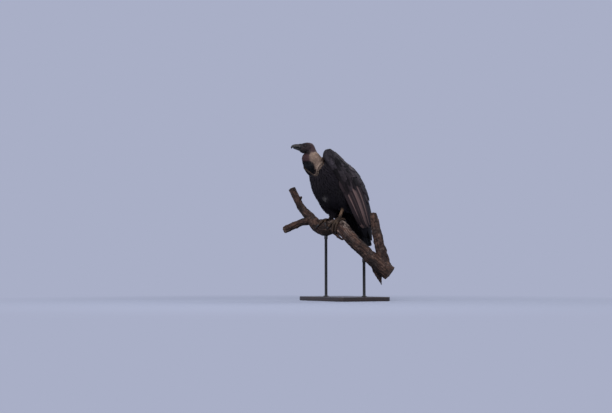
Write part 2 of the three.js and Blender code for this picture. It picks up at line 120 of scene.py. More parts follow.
def through(rows, t):
    """Catmull-Rom line through the rows, t from 0 at the first to 1 at the last, straight past both."""
    rows = np.asarray(rows, float)
    last = len(rows) - 1
    t = np.asarray(t, float)
    held = np.clip(t, 0, 1)
    i = np.minimum((held * last).astype(int), last - 1)
    f = (held * last - i)[..., None]
    a, b, c, d = (rows[np.clip(i + k, 0, last)] for k in (-1, 0, 1, 2))
    line = b + 0.5 * f * (c - a + f * (2 * a - 5 * b + 4 * c - d + f * (3 * (b - c) + d - a)))
    past = (t - held)[..., None] * last
    return line + past * np.where(past > 0, rows[-1] - rows[-2], rows[1] - rows[0])


def heading(rows, t, step=0.01):
    """The direction in which a line of stations runs at t."""
    return unit((through(rows, t + step) - through(rows, t - step))[..., :3])


def lattice_value(corner, seed):
    """A repeatable number from 0 to 1 for each whole-number corner: its parts times large numbers, with
    the high bits of the sum stirred into the low ones."""
    mixed_up = sum(corner[..., k].astype(np.int64) * stir for k, stir in enumerate(AXIS_STIRS))
    mixed_up = (mixed_up + seed * SEED_STIR) & LOW_32_BITS
    mixed_up = ((mixed_up ^ (mixed_up >> 13)) * LAST_STIR) & LOW_32_BITS
    return ((mixed_up ^ (mixed_up >> 16)) & LOW_16_BITS) / LOW_16_BITS


def noise(points, size, seed=0):
    """Soft noise from -1 to 1: values at the corners of a lattice of that size, joined by even steps."""
    q = points / size
    low = np.floor(q)
    f = smooth(q - low)
    total = 0.0
    for corner in np.ndindex(2, 2, 2):
        share = np.prod(np.where(corner, f, 1 - f), axis=-1)
        total = total + share * lattice_value(low + corner, seed)
    return 2 * total - 1


def layered(points, size, octaves=3, seed=0):
    """Noise summed over octaves, each half the size and half the height of the last."""
    return sum(noise(points, size / 2**k, seed + k) / 2**k for k in range(octaves))


def colour(*codes):
    """Linear colour from a display colour of 0 to 255 a channel."""
    c = np.array(codes) / 255
    return np.where(c > 0.04045, ((c + 0.055) / 1.055) ** 2.4, c / 12.92)


# ---------- surfaces ----------
# A surface is a function of u and v that gives points. Its "hand" is 1 where the cross product of
# the v direction and the u direction points out of the body, and -1 where it points in.
def handed(surface, hand):
    """Marks a surface with its hand."""
    surface.hand = hand
    return surface


def matched(u, v):
    """Both parameters as arrays of one shape."""
    return np.broadcast_arrays(np.asarray(u, float), np.asarray(v, float))


def rounded(rows, across=(1, 0, 0), inset=0):
    """A form round a line of stations x, y, z, side, up, down. At u along the line and v turns round
    it, the point is on an ellipse that reaches "side" to both sides, "up" over and "down" under."""
    rows = np.asarray(rows, float)

    def surface(u, v):
        u, v = matched(u, v)
        row, ahead = through(rows, u), heading(rows, u)
        side = square_to(ahead, np.array(across))
        over = np.cross(ahead, side)
        c, s = np.cos(TURN * v)[..., None], np.sin(TURN * v)[..., None]
        sizes = np.maximum(row[..., 3:] - inset, LEAST_REACH)
        reach = np.where(s > 0, sizes[..., 1:2], sizes[..., 2:3])
        return row[..., :3] + side * c * sizes[..., 0:1] + over * s * reach

    return handed(surface, 1)


def backwards(surface):
    """The same surface with u from its last station to its first."""
    return handed(lambda u, v: surface(1 - np.asarray(u, float), v), -surface.hand)


def frame_on(surface, u, v, step=0.003):
    """The point, both tangents and the outward normal of a surface, from small differences."""
    du = (surface(u + step, v) - surface(u - step, v)) / (2 * step)
    dv = (surface(u, v + step) - surface(u, v - step)) / (2 * step)
    return surface(u, v), du, dv, surface.hand * unit(np.cross(dv, du))


# ---------- meshes ----------
def quads_between(rows, columns, looped=False):
    """Corners of the quads of a grid whose columns close round it, and whose rows do too if looped."""
    r = np.arange(rows if looped else rows - 1)[:, None]
    c = np.arange(columns)[None, :]
    row, next_row, beside = r * columns, (r + 1) % rows * columns, (c + 1) % columns
    return np.stack([row + c, row + beside, next_row + beside, next_row + c], -1).reshape(-1, 4)


def mesh_of(name, points, *face_sets):
    """A mesh from millimetre points of the bird's frame and arrays of corners, one for each face size."""
    mesh = bpy.data.meshes.new(name)
    world = ORIGIN + MM * np.asarray(points, float).reshape(-1, 3)
    corners = np.concatenate([f.ravel() for f in face_sets]).astype(np.int32)
    sizes = np.concatenate([np.full(len(f), f.shape[1]) for f in face_sets])
    starts = np.concatenate([[0], np.cumsum(sizes)[:-1]]).astype(np.int32)
    mesh.vertices.add(len(world))
    mesh.vertices.foreach_set("co", world.astype(np.float32).ravel())
    mesh.loops.add(len(corners))
    mesh.loops.foreach_set("vertex_index", corners)
    mesh.polygons.add(len(starts))
    mesh.polygons.foreach_set("loop_start", starts)
    mesh.update(calc_edges=True)
    mesh.validate()
    mesh.shade_smooth()
    return mesh


def grid_solid(name, points, hand=1, looped=False):
    """A closed mesh from a grid of points whose columns close round it. Its rows close round too if
    looped, and otherwise a fan of triangles runs from each end to the middle of its ring."""
    rows, columns = points.shape[:2]
    sets = [quads_between(rows, columns, looped)]
    flat = points.reshape(-1, 3)
    if not looped:
        ring = np.arange(columns)
        after = (ring + 1) % columns
        last = (rows - 1) * columns
        low, high = len(flat), len(flat) + 1
        flat = np.concatenate([flat, [points[0].mean(0)], [points[-1].mean(0)]])
        sets.append(np.stack([np.full(columns, low), after, ring], -1))
        sets.append(np.stack([np.full(columns, high), last + ring, last + after], -1))
    if hand < 0:
        sets = [f[:, ::-1] for f in sets]
    return mesh_of(name, flat, *sets)


def solid_of(name, surface, rows, columns, low=0.0, high=1.0):
    """A closed mesh of a surface whose v goes once round."""
    u = np.linspace(low, high, rows)[:, None]
    v = (np.arange(columns) / columns)[None, :]
    return grid_solid(name, surface(u, v), surface.hand)


def blob(name, centre, radii, rows, columns):
    """An ellipsoid: latitude along the rows and longitude round them."""
    lat = np.linspace(-0.5, 0.5, rows + 2)[1:-1, None] * math.pi
    lon = TURN * np.arange(columns)[None, :] / columns
    ball = np.stack([np.cos(lat) * np.cos(lon), np.cos(lat) * np.sin(lon), np.sin(lat) + 0 * lon], -1)
    return grid_solid(name, centre + ball * radii)


def read(items, key, width, kind=np.float32):
    """A value of every item of a mesh, as an array with a row for each."""
    values = np.empty(len(items) * width, kind)
    items.foreach_get(key, values)
    return values.reshape(-1, width)


def points_of(mesh):
    """A mesh's points in millimetres of the bird's frame."""
    return (read(mesh.vertices, "co", 3).astype(float) - ORIGIN) / MM


def set_points(mesh, points):
    """Moves a mesh's points to places in millimetres of the bird's frame."""
    mesh.vertices.foreach_set("co", (ORIGIN + MM * points).astype(np.float32).ravel())
    mesh.update()


def normals_of(mesh):
    """The way out of a mesh at each of its points."""
    return read(mesh.vertex_normals, "vector", 3).astype(float)


def raise_points(mesh, height):
    """Moves each point of a mesh out along its normal by its height."""
    set_points(mesh, points_of(mesh) + normals_of(mesh) * height[:, None])


def relax(mesh, weight, rounds):
    """Moves each point towards the mean of its neighbours by its weight, round after round."""
    edges = read(mesh.edges, "vertices", 2, np.int32)
    a, b = edges.T
    points = points_of(mesh)
    count = np.bincount(edges.ravel(), minlength=len(points))[:, None]
    for _ in range(rounds):
        near = [
            np.bincount(a, points[b, k], len(points)) + np.bincount(b, points[a, k], len(points))
            for k in range(3)
        ]
        points = points + weight[:, None] * (np.stack(near, -1) / count - points)
    set_points(mesh, points)


def placed(name, data):
    """A new object of the scene that holds a mesh, a lamp or a camera."""
    holder = bpy.data.objects.new(name, data)
    bpy.context.scene.collection.objects.link(holder)
    return holder


def union(name, meshes):
    """One closed skin round several closed meshes that overlap."""
    whole = placed(name, meshes[0])
    others = bpy.data.collections.new(name + "_parts")
    for mesh in meshes[1:]:
        others.objects.link(bpy.data.objects.new(mesh.name, mesh))
    joined = whole.modifiers.new("join", "BOOLEAN")
    joined.operation = "UNION"
    joined.operand_type = "COLLECTION"
    joined.collection = others
    joined.solver = "MANIFOLD"
    evaluated = whole.evaluated_get(bpy.context.evaluated_depsgraph_get())
    mesh = bpy.data.meshes.new_from_object(evaluated)
    bpy.data.objects.remove(whole)
    for part in list(others.objects):
        bpy.data.objects.remove(part)
    bpy.data.collections.remove(others)
    mesh.name = name
    mesh.shade_smooth()
    return mesh


def give(mesh, name, values, kind):
    """A value for each point of a mesh, as an attribute that a material reads."""
    key = {"FLOAT": "value", "FLOAT_COLOR": "color", "FLOAT_VECTOR": "vector"}[kind]
    if kind == "FLOAT_COLOR":
        values = np.concatenate([values, np.ones((len(values), 1))], -1)
    data = mesh.attributes.new(name, kind, "POINT").data
    data.foreach_set(key, np.asarray(values, np.float32).ravel())


def give_map(mesh, name, place):
    """A UV map from a place for each point."""
    corners = read(mesh.loops, "vertex_index", 1, np.int32)[:, 0]
    layer = mesh.uv_layers.new(name=name)
    layer.data.foreach_set("uv", np.asarray(place, np.float32)[corners].ravel())


def finish_piece(name, mesh, material, slot, nodes=()):
    """A piece of the model with its finish, riding on the one body, in place of its CAD nodes."""
    piece = placed(name, mesh)
    mesh.materials.clear()
    mesh.materials.append(material)
    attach(piece, "root")
    if nodes:
        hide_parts(*nodes)
    return piece


# ---------- shader sums ----------
class Value:
    """A shader socket that takes part in Python sums: each sign adds a Math node."""

    def __init__(self, paint, socket):
        self.paint, self.socket = paint, socket

    def _math(self, operation, *parts):
        """A Math node of an operation on one or two values or numbers."""
        return self.paint.node("ShaderNodeMath", {"operation": operation}, dict(enumerate(parts)))

    def __add__(self, other):
        return self._math("ADD", self, other)

    def __sub__(self, other):
        return self._math("SUBTRACT", self, other)

    def __rsub__(self, other):
        return self._math("SUBTRACT", other, self)

    def __mul__(self, other):
        return self._math("MULTIPLY", self, other)

    def __pow__(self, other):
        return self._math("POWER", self, other)

    def __abs__(self):
        return self._math("ABSOLUTE", self)

    def sine(self):
        """The sine of a value in radians."""
        return self._math("SINE", self)

    def most(self, other):
        """The greater of two values."""
        return self._math("MAXIMUM", self, other)

    def rise(self, low, high):
        """0 at low, 1 at high, held to that range. High may be under low."""
        inputs = {"Value": self, "From Min": low, "From Max": high, "To Min": 0.0, "To Max": 1.0}
        return self.paint.node("ShaderNodeMapRange", {"interpolation_type": "SMOOTHSTEP"}, inputs)

    __radd__ = __add__
    __rmul__ = __mul__


class Paint:
    """The nodes of a new material, or of the world. Every new node comes from node(), and "fixed" gives
    the numbers and colours of the shader's own sockets."""

    def __init__(self, name, world=None, **fixed):
        self.material = world or bpy.data.materials.new(name)
        self.material.use_nodes = True
        self.tree = self.material.node_tree
        self.shader = self.tree.nodes["Background" if world else "Principled BSDF"]
        for socket, value in fixed.items():
            self.shader.inputs[socket.replace("_", " ")].default_value = value

    def node(self, kind, settings=None, inputs=None, out=0):
        """A node of a kind with its settings, such as a ramp's stops, set first, then the values or links
        of its sockets. Gives one of its outputs."""
        made = self.tree.nodes.new(kind)
        for key, value in (settings or {}).items():
            if key == "stops":
                ramp = made.color_ramp.elements
                while len(ramp) < len(value):
                    ramp.new(0.5)
                for stop, (place, shade) in zip(ramp, value):
                    stop.position, stop.color = place, (*shade, 1)
            else:
                setattr(made, key, value)
        for key, value in (inputs or {}).items():
            if isinstance(value, Value):
                self.tree.links.new(value.socket, made.inputs[key])
            else:
                made.inputs[key].default_value = value
        return Value(self, made.outputs[out])

    def place(self):
        """Where a spot lies on its object, in metres."""
        return self.node("ShaderNodeTexCoord", out="Object")

    def attribute(self, name, out="Color"):
        """A value that the mesh brings for each point."""
        return self.node("ShaderNodeAttribute", {"attribute_name": name}, out=out)

    def parts(self, vector):
        """The three numbers of a vector."""
        split = self.node("ShaderNodeSeparateXYZ", inputs={0: vector})
        return [Value(self, socket) for socket in split.socket.node.outputs]

    def stretched(self, vector, scale):
        """A place with each of its numbers times a scale: a pattern draws out where that is low."""
        return self.node("ShaderNodeMapping", inputs={"Vector": vector, "Scale": scale})

    def noise(self, vector, scale, detail=3.0, roughness=0.55):
        """Soft noise round 0.5."""
        inputs = {"Vector": vector, "Scale": scale, "Detail": detail, "Roughness": roughness}
        return self.node("ShaderNodeTexNoise", inputs=inputs, out="Fac")

    def cells(self, vector, scale):
        """The distance to the nearest edge of a pattern of cells."""
        inputs = {"Vector": vector, "Scale": scale}
        return self.node("ShaderNodeTexVoronoi", {"feature": "DISTANCE_TO_EDGE"}, inputs, "Distance")

    def mix(self, share, first, second):
        """The first colour where the share is 0 and the second where it is 1."""
        shades = [c if isinstance(c, Value) else (*c, 1.0) for c in (first, second)]
        inputs = {0: share, 6: shades[0], 7: shades[1]}
        return self.node("ShaderNodeMix", {"data_type": "RGBA"}, inputs, out=2)

    def scaled(self, shade, amount):
        """A colour made lighter or darker all through by a number."""
        return self.node("ShaderNodeVectorMath", {"operation": "SCALE"}, {0: shade, "Scale": amount})

    def ramp(self, value, *stops):
        """A colour from a value by pairs of a place on the ramp and its colour."""
        return self.node("ShaderNodeValToRGB", {"stops": stops}, {0: value})

    def relief(self, height, distance, strength=1.0):
        """A bump of that height in metres where the value goes from 0 to 1."""
        inputs = {"Height": height, "Distance": distance, "Strength": strength}
        return self.node("ShaderNodeBump", inputs=inputs)

    def layered_with(self, share, other, output):
        """Sends an output the shader where the share is 0, and another shader where it is 1."""
        own = Value(self, self.shader.outputs[0])
        both = self.node("ShaderNodeMixShader", inputs={0: share, 1: own, 2: other})
        self.tree.links.new(both.socket, self.tree.nodes[output].inputs["Surface"])

    def set(self, **sockets):
        """Links values that change over the surface to the shader's sockets, and gives the material."""
        for name, value in sockets.items():
            self.tree.links.new(value.socket, self.shader.inputs[name.replace("_", " ")])
        return self.material


# ---------- feathers ----------
def steps_along(way, du, dv):
    """How far u and v change for a millimetre along a direction that lies in the surface."""
    e, f, g = (np.sum(x * y, -1) for x, y in ((du, du), (du, dv), (dv, dv)))
    a, b = np.sum(way * du, -1), np.sum(way * dv, -1)
    det = np.maximum(e * g - f * f, 1e-6)
    return (g * a - f * b) / det, (e * b - f * a) / det


def contour(s):
    """A body feather's half width along it: broad, with a round tip."""
    return np.maximum(np.sin(math.pi * s**0.78), 0) ** 0.48


def lance(s):
    """Broadest at a third, then drawn out to a point."""
    return np.maximum(np.sin(math.pi * s**0.62), 0) ** 0.8


def blade(s):
    """A flight feather: even along most of its length, with a short round tip."""
    tip = np.sqrt(np.maximum(1 - np.maximum((s - 0.86) / 0.14, 0) ** 2, 0))
    return np.minimum(1, 0.25 + (s / 0.12) ** 0.7) * tip


def wisp(s):
    """A thread of down, thinning to its end."""
    return np.minimum(1, 0.5 + 3 * s) * (1 - s) ** 0.55


SPOT_SIZE = 0.003  # a feather's share of the baking map's side
ROW_SAMPLES = 33  # places along a row of roots at which its length is measured


class Coat:
    """Feathers of many sizes gathered into one mesh, each a thin closed lens that follows a surface."""

    POWER_OF_ROWS = 1.35  # over 1, it sets a feather's rows closer towards its tip

    def __init__(self):
        self.points, self.tint, self.vane, self.bake, self.faces = [], [], [], [], {}
        self.count = 0

    def add(self, surface, u, v, length, width, tint, rng, *, turn=0.0, low=-5.0, lift=5.0, droop=0.0,
            camber=0.2, roll=0.0, outline=contour, rows=7, columns=5, thick=0.6, ragged=0.06,
            patch=(0.02, 0.02, 0.96, 0.96), to=None, drift=0.0):
        """Feathers rooted at u, v. With s from 0 at a root to 1 at its tip and c from -1 to 1 across, a
        point goes s lengths along the lie and c half widths aside, over the surface by a height of
        low + lift s + droop s^2, less the camber's fall to both edges. Top and underside meet there.
        Where "to" gives the u of each tip, the shaft runs there instead, and "drift" is its change in v."""
        size = len(u)
        column = lambda x: np.broadcast_to(np.asarray(x, float), (size,))[:, None, None]
        length, width, turn, lift, low, roll, droop = map(
            column, (length, width, turn, lift, low, roll, droop))
        s = 1 - (1 - np.linspace(0, 1, rows)) ** self.POWER_OF_ROWS
        c = np.linspace(-1, 1, columns)
        if to is None:
            _, du, dv, out = frame_on(surface, u, v)
            lie = unit(du)
            ahead = lie * np.cos(turn[:, :, 0]) + np.cross(lie, out) * np.sin(turn[:, :, 0])
            p, q = steps_along(ahead, du, dv)
            shaft_u = u[:, None] + s * length[:, :, 0] * p[:, None]
            shaft_v = v[:, None] + s * length[:, :, 0] * q[:, None]
        else:
            ahead = None
            shaft_u = u[:, None] + s * (to - u)[:, None]
            shaft_v = v[:, None] + s**1.5 * np.broadcast_to(drift, (size,))[:, None]
        _, du, dv, out = frame_on(surface, shaft_u, shaft_v)
        way = unit(du) if ahead is None else square_to(out, ahead[:, None])
        p, q = steps_along(np.cross(way, out), du, dv)
        half = np.maximum(outline(s), 0.05)[None, :, None] * width / 2
        c_grid = c[None, None, :]
        wide = c_grid * half * (1 + ragged * rng.standard_normal((size, rows, columns)) * np.abs(c_grid))
        on, _, _, over = frame_on(surface, shaft_u[..., None] + wide * p[..., None],
                                  shaft_v[..., None] + wide * q[..., None])
        s_grid = s[None, :, None]
        height = low + lift * s_grid + droop * s_grid**2 + roll * wide - camber * half * c_grid**2
        ring = np.concatenate([np.arange(columns), np.arange(columns - 2, 0, -1)])
        side = np.concatenate([np.ones(columns), -np.ones(columns - 2)]) * np.sqrt(1 - c[ring] ** 2)
        body = (on + over * height[..., None])[:, :, ring]
        body = body + over[:, :, ring] * (side * thick / 2)[None, None, :, None]
        self.gather(body, s, c[ring], tint, u, v, patch)

    def gather(self, body, s, c, tint, u, v, patch):
        """Takes in feathers as rings of points: quads join the rings and one face closes each end. Every
        point gets its feather's tint, its place on the vane, and a spot on the baking map that lies by
        the feather's root."""
        size, rows, around = body.shape[:3]
        first = self.count + rows * around * np.arange(size)[:, None, None]
        quads = first + quads_between(rows, around)[None]
        ring = np.arange(around)
        ends = np.stack([ring[::-1], ring + (rows - 1) * around])
        caps = first + ends[None]
        self.faces.setdefault(4, []).append(quads.reshape(-1, 4))
        self.faces.setdefault(around, []).append(caps.reshape(-1, around))
        self.count += size * rows * around
        full = (size, rows, around)
        self.points.append(body.reshape(-1, 3))
        tint = np.broadcast_to(np.asarray(tint, float), (size, 3))
        self.tint.append(np.broadcast_to(tint[:, None, None], (*full, 3)).reshape(-1, 3))
        place = [np.broadcast_to(c / 2 + 0.5, full), np.broadcast_to(s[None, :, None], full)]
        self.vane.append(np.stack(place, -1).reshape(-1, 2))
        root = np.stack([patch[0] + patch[2] * np.clip(u, 0, 1), patch[1] + patch[3] * (v % 1.0)], -1)
        near = SPOT_SIZE * (np.stack(place, -1) - 0.5)
        self.bake.append((root[:, None, None] + near).reshape(-1, 2))

    def piece(self, name, material, slot, nodes=()):
        """Makes the gathered feathers a piece of the model."""
        sets = [np.concatenate(sets) for sets in self.faces.values()]
        mesh = mesh_of(name, np.concatenate(self.points), *sets)
        give(mesh, "tint", np.concatenate(self.tint), "FLOAT_COLOR")
        give_map(mesh, "OFBake", np.concatenate(self.bake))
        give_map(mesh, "vane", np.concatenate(self.vane))
        return finish_piece(name, mesh, material, slot, nodes)


def scattered(surface, rng, u_range, v_range, apart, keep=None, jitter=0.22):
    """Roots in staggered rows: rows and places in a row lie "apart" millimetres, along and across,
    which may be a function of u. "keep" says from u, v and the points which roots stay."""
    apart = apart if callable(apart) else (lambda u, fixed=apart: fixed)
    us, vs = [], []
    u, row = u_range[0], 0
    while u < u_range[1]:
        line = np.linspace(*v_range, ROW_SAMPLES)
        ring = surface(np.full(ROW_SAMPLES, u), line)
        reach = np.linalg.norm(np.diff(ring, axis=0), axis=1)
        along_gap, across_gap = apart(u)
        count = max(1, int(round(reach.sum() / across_gap)))
        share = (np.arange(count) + 0.5 * (row % 2) + jitter * rng.uniform(-1, 1, count)) / count
        travelled = np.concatenate([[0], np.cumsum(reach)]) / reach.sum()
        vs.append(np.interp(share, travelled, line))
        speed = np.linalg.norm(surface(u + 0.01, line) - surface(u, line), axis=-1).mean() / 0.01
        us.append(u + jitter * rng.uniform(-1, 1, count) * along_gap / speed)
        u += along_gap / speed
        row += 1
    u, v = np.concatenate(us), np.concatenate(vs)
    if keep is not None:
        stay = keep(u, v, surface(u, v))
        u, v = u[stay], v[stay]
    return u, v


def varied(shade, rng, size, amount=0.12):
    """A tint for each feather: one shade, or one each, a little lighter or darker in turn."""
    return np.asarray(shade) * (1 + amount * rng.uniform(-1, 1, (size, 1)))


# ---------- colours ----------
DARK_BODY = colour(28, 24, 29)
BELLY = colour(20, 17, 21)
MANTLE = colour(41, 37, 42)
COVERT = colour(42, 38, 42)
HUMP = colour(43, 40, 44)
SCAPULAR = colour(65, 58, 62)
FLIGHT = colour(16, 14, 18)
STRIPE = colour(116, 94, 91)
STRIPE_DARK = colour(48, 39, 41)
RUMP_WHITE = colour(190, 184, 177)
CREAM = colour(150, 132, 119)
HINDNECK = colour(166, 143, 129)
FRONT_NECK = colour(55, 33, 36)
CROP = colour(3, 3, 5)
FACE = colour(37, 26, 29)
BROW = colour(21, 15, 19)
CROWN = colour(58, 41, 43)
LEG = colour(104, 80, 62)
IRIS, IRIS_FLECK = colour(54, 30, 18), colour(28, 15, 10)
PUPIL, EYE_DARK = colour(3, 3, 4), colour(14, 9, 9)
HORN, HORN_DARK, CERE = colour(49, 42, 40), colour(6, 6, 7), colour(24, 17, 20)
CLAW_DARK, CLAW_PALE = colour(24, 23, 25), colour(52, 48, 48)
PALE_FEATHER = colour(88, 84, 83)


# ---------- the bird's body forms ----------
# Stations are x, y, z, side, up, down. On the trunk "up" is the back, from the tail to the neck.
TRUNK = [
    [0, 132, 44, 30, 28, 24],
    [0, 96, 84, 62, 76, 58],
    [0, 54, 126, 84, 116, 92],
    [0, 4, 172, 97, 140, 120],
    [0, -46, 218, 97, 136, 113],
    [0, -88, 262, 92, 114, 82],
    [0, -114, 292, 76, 82, 58],
]
THIGHS = {
    "left": [
        [60, -12, 176, 42, 60, 60],
        [62, -6, 134, 41, 54, 54],
        [60, 2, 104, 35, 42, 42],
        [54, 14, 84, 26, 30, 27],
        [48, 24, 66, 17, 20, 17],
        [45, 27, 50, 9, 10, 9],
    ],
    "right": [
        [-60, -24, 176, 42, 60, 60],
        [-62, -26, 130, 41, 56, 54],
        [-59, -22, 94, 36, 48, 42],
        [-55, -12, 64, 28, 36, 30],
        [-46, 4, 42, 26, 28, 25],
        [-42, 11, 7, 21, 23, 20],
    ],
}
HANDS = {"left": 1, "right": -1}
COAT, LIMB_COAT = 9, 6  # how deep the plumage lies over the skin of the body, and of thighs and arms
HEAD_AT = np.array([0, -148, 386])
HEAD_TURN = math.radians(-13)
HEAD_LIFT = math.radians(7)
EYE_PLACE = np.array([16.2, -51, 4])  # the left eye's centre, on the head
EYE_RADIUS = 8.2

# How much further the belly's plumage stands out under each station.
FULLNESS = np.array([0, 2, 6, 12, 9, 4, 0])
trunk = backwards(rounded(np.array(TRUNK) + FULLNESS[:, None] * [0, 0, 0, 0, 0, 1]))
thighs = {hand: rounded(rows) for hand, rows in THIGHS.items()}


def turned_about(axis, angle, vectors):
    """Vectors turned about the X or Z axis by an angle, one angle or one for each."""
    c, s = np.cos(angle), np.sin(angle)
    x, y, z = (vectors[..., k] for k in range(3))
    if axis == "z":
        return np.stack([x * c - y * s, x * s + y * c, z], -1)
    return np.stack([x, y * c - z * s, y * s + z * c], -1)


def on_head(points):
    """From the head's own frame, -Y forwards from the nape, to the bird's."""
    lifted = turned_about("x", -HEAD_LIFT, np.asarray(points, float))
    return HEAD_AT + turned_about("z", HEAD_TURN, lifted)


def in_head(points):
    """How far forward, to the left and up a bird point is on the head."""
    own = turned_about("x", HEAD_LIFT, turned_about("z", -HEAD_TURN, points - HEAD_AT))
    return -own[..., 1], own[..., 0], own[..., 2]


# The neck and head in one: each station is a slice through the side outline, from a front or lower
# point to a back or upper one, both as distance forwards and height, with its half width.
NECK_AND_HEAD = [
    [140, 218, 60, 262, 50],
    [166, 236, 76, 296, 56],
    [185, 255, 95, 322, 57],
    [201, 286, 109, 338, 51],
    [209, 308, 116, 345, 47.5],
    [213, 327, 121, 351, 44],
    [209, 343, 127, 358, 39],
    [200, 354, 131, 368, 33.5],
    [197.5, 356.5, 137, 383, 29],
    [198, 356.5, 143, 398, 26.5],
    [200, 356, 154, 411, 26.5],
    [203, 355.8, 170, 416, 26.5],
    [206, 356, 189, 416, 25.5],
    [210, 356.8, 202, 413, 21.5],
    [216, 359, 213, 409.5, 17],
    [222, 362.5, 219, 407.5, 14],
    [225, 367, 226, 402, 11],
]
HEAD_STARTS, HEAD_MADE = 5 / 16, 11 / 16  # where along the line the head's turn begins and ends
FLAT_SIDED = 0.94  # the power that a slice's sine and cosine are raised to


def neck_and_head(u, v):
    """Round a slice, the point goes from the back over the left side to the front and home: a cosine
    moves it between the back and front points and a sine gives its width. Slices turn with the head."""
    u, v = matched(u, v)
    row = through(NECK_AND_HEAD, u)
    c, s = signed_power(np.cos(TURN * v), FLAT_SIDED), signed_power(np.sin(TURN * v), FLAT_SIDED)
    front, back = row[..., 0:2], row[..., 2:4]
    spot = (front + back) / 2 + (back - front) / 2 * c[..., None]
    points = np.stack([s * row[..., 4], -spot[..., 0], spot[..., 1]], -1)
    pivot = np.array([HEAD_AT[0], HEAD_AT[1], 0])
    share = smooth((u - HEAD_STARTS) / (HEAD_MADE - HEAD_STARTS))
    return pivot + turned_about("z", HEAD_TURN * share, points - pivot)


handed(neck_and_head, -1)
neck = backwards(neck_and_head)


# ---------- wings and tail ----------
# The left wing, folded, from the wrist to the tips: its front edge, its rear edge and its bow.
WING = [
    [88, -114, 376, 74, -85, 387, 2],
    [97, -131, 335, 60, -30, 365, 12],
    [105, -92, 266, 50, 36, 316, 22],
    [110, -42, 196, 34, 110, 275, 26],
    [106, 12, 112, 28, 168, 202, 25],
    [92, 68, 30, 26, 207, 106, 21],
    [68, 134, -60, 27, 231, -6, 14],
    [42, 206, -142, 25, 240, -130, 3],
]
WRIST_DROP = {"left": 0, "right": 26}
WRIST_END = 0.055  # how far along the wing its round end goes
ARM_HALF_WIDTH = 45


def wing_surface(hand):
    """A sheet between the two edges at u, bowed outwards by 4 v (1 - v) of the bow, with the wrist
    lowered by the drop."""
    sign = HANDS[hand]

    def surface(u, v):
        u, v = matched(u, v)
        row, ahead = through(WING, u), through(WING, u + 0.02) - through(WING, u - 0.02)
        front, rear = row[..., 0:3], row[..., 3:6]
        out = unit(np.cross(rear - front, ahead[..., 0:3] + ahead[..., 3:6]))
        out = out * np.where(out[..., :1] < 0, -1, 1)
        p = front + (rear - front) * v[..., None] + out * (row[..., 6] * 4 * v * (1 - v))[..., None]
        drop = WRIST_DROP[hand] * (1 - smooth(2 * u))
        return np.stack([sign * p[..., 0], p[..., 1], p[..., 2] - drop], -1)

    return handed(surface, -sign)


wings = {hand: wing_surface(hand) for hand in HANDS}


def tail_surface(u, v):
    """A fan that widens from its root to its tip as it goes back by a power of u and down evenly, with
    a low arch across it."""
    u, v = matched(u, v)
    span = 2 * v - 1
    arch = 5 * (1 - span**2)
    wide = 26 + 25 * smooth(u)
    behind = 120 + 92 * np.maximum(u, 0) ** 0.7
    return np.stack([span * wide, behind + arch, 76 - 232 * u + 0.3 * arch], -1)


handed(tail_surface, 1)


def arm_surface(hand, inset=0):
    """Round the folded arm: v goes once round a slice, from the front edge over the outer face to the
    rear edge and back inside. The slice is a rounded slab that keeps to the wing's outer face, and it
    draws in to a round end over the wrist, as a quarter circle does."""

    def surface(u, v):
        u, v = matched(u, v)
        across = 0.5 - 0.5 * signed_power(np.cos(TURN * v), 0.8)
        on, _, _, out = frame_on(wings[hand], u, across)
        depth = (10 + 27 * smooth(1.5 - 2.2 * u)) * (1 - 0.35 * step_between(0.3, 0.55, u))
        inwards = depth / 2 * (1 - signed_power(np.sin(TURN * v), 0.55))
        p = on - out * (inwards * (1 - 2 * inset / depth) + inset)[..., None]
        from_wrist = np.clip(u, 0, WRIST_END) / WRIST_END
        end = np.sqrt(np.clip(1 - (1 - from_wrist) ** 2, 0, 1))[..., None]
        middle, _, _, out = frame_on(wings[hand], u, 0.5 + 0 * v)
        middle = middle - out * (depth / 2)[..., None]
        narrow = 1 - inset / ARM_HALF_WIDTH
        return middle + (p - middle) * (0.12 + 0.88 * end) * narrow

    return handed(surface, -HANDS[hand])


# ---------- branch ----------
# Places on the branch are along its length in plan, away behind it, and up from the feet.
BRANCH_TURN = math.radians(60)
ALONG = np.array([math.cos(BRANCH_TURN), math.sin(BRANCH_TURN), 0])
AWAY = np.array([-math.sin(BRANCH_TURN), math.cos(BRANCH_TURN), 0])
UP = np.array([0, 0, 1])


def wood(*rows):
    """Stations of a piece of the branch from rows of its place, its radius, and the half thickness of
    a flat one."""
    made = []
    for right, back, up, side, *thick in rows:
        thick = thick[0] if thick else side
        made.append([*(right * ALONG + back * AWAY + up * UP), side, thick, thick])
    return np.array(made)


LIMB = wood(
    [-134, 56, -2, 32],
    [-112, 48, -30, 36],
    [-84, 38, -49, 38],
    [-56, 24, -54, 42],
    [-28, 20, -46, 41],
    [0, 0, -41, 40],
    [28, -26, -50, 39],
    [62, -52, -91, 37],
    [105, -74, -140, 36],
    [149, -94, -183, 36],
    [186, -108, -220, 38],
    [234, -124, -263, 40],
    [287, -140, -306, 43],
)
PRONG = wood(
    [-126, 56, -10, 30],
    [-152, 62, 20, 28],
    [-181, 70, 49, 25],
    [-208, 80, 95, 21.5],
    [-228, 88, 136, 20],
    [-250, 96, 178, 21],
)
TWIG = wood([-130, 62, -2, 25], [-196, 52, -19, 22], [-247, 40, -41, 21], [-289, 26, -61, 19.5])
STUB = wood(
    [270, -130, -276, 27],
    [255, -120, -222, 29],
    [240, -113, -180, 30],
    [228, -106, -124, 28],
    [214, -98, -52, 25.5],
    [204, -92, 10, 22.5],
    [203, -90, 25, 17],
)
KNOB = wood([-216, 80, 106, 12], [-201, 78, 120, 11], [-191, 78, 129, 6])
BARK_SPIKE = wood(
    [206, -112, -236, 26, 14],
    [212, -108, -270, 26, 13],
    [227, -106, -312, 20, 10],
    [243, -106, -367, 3, 3],
)
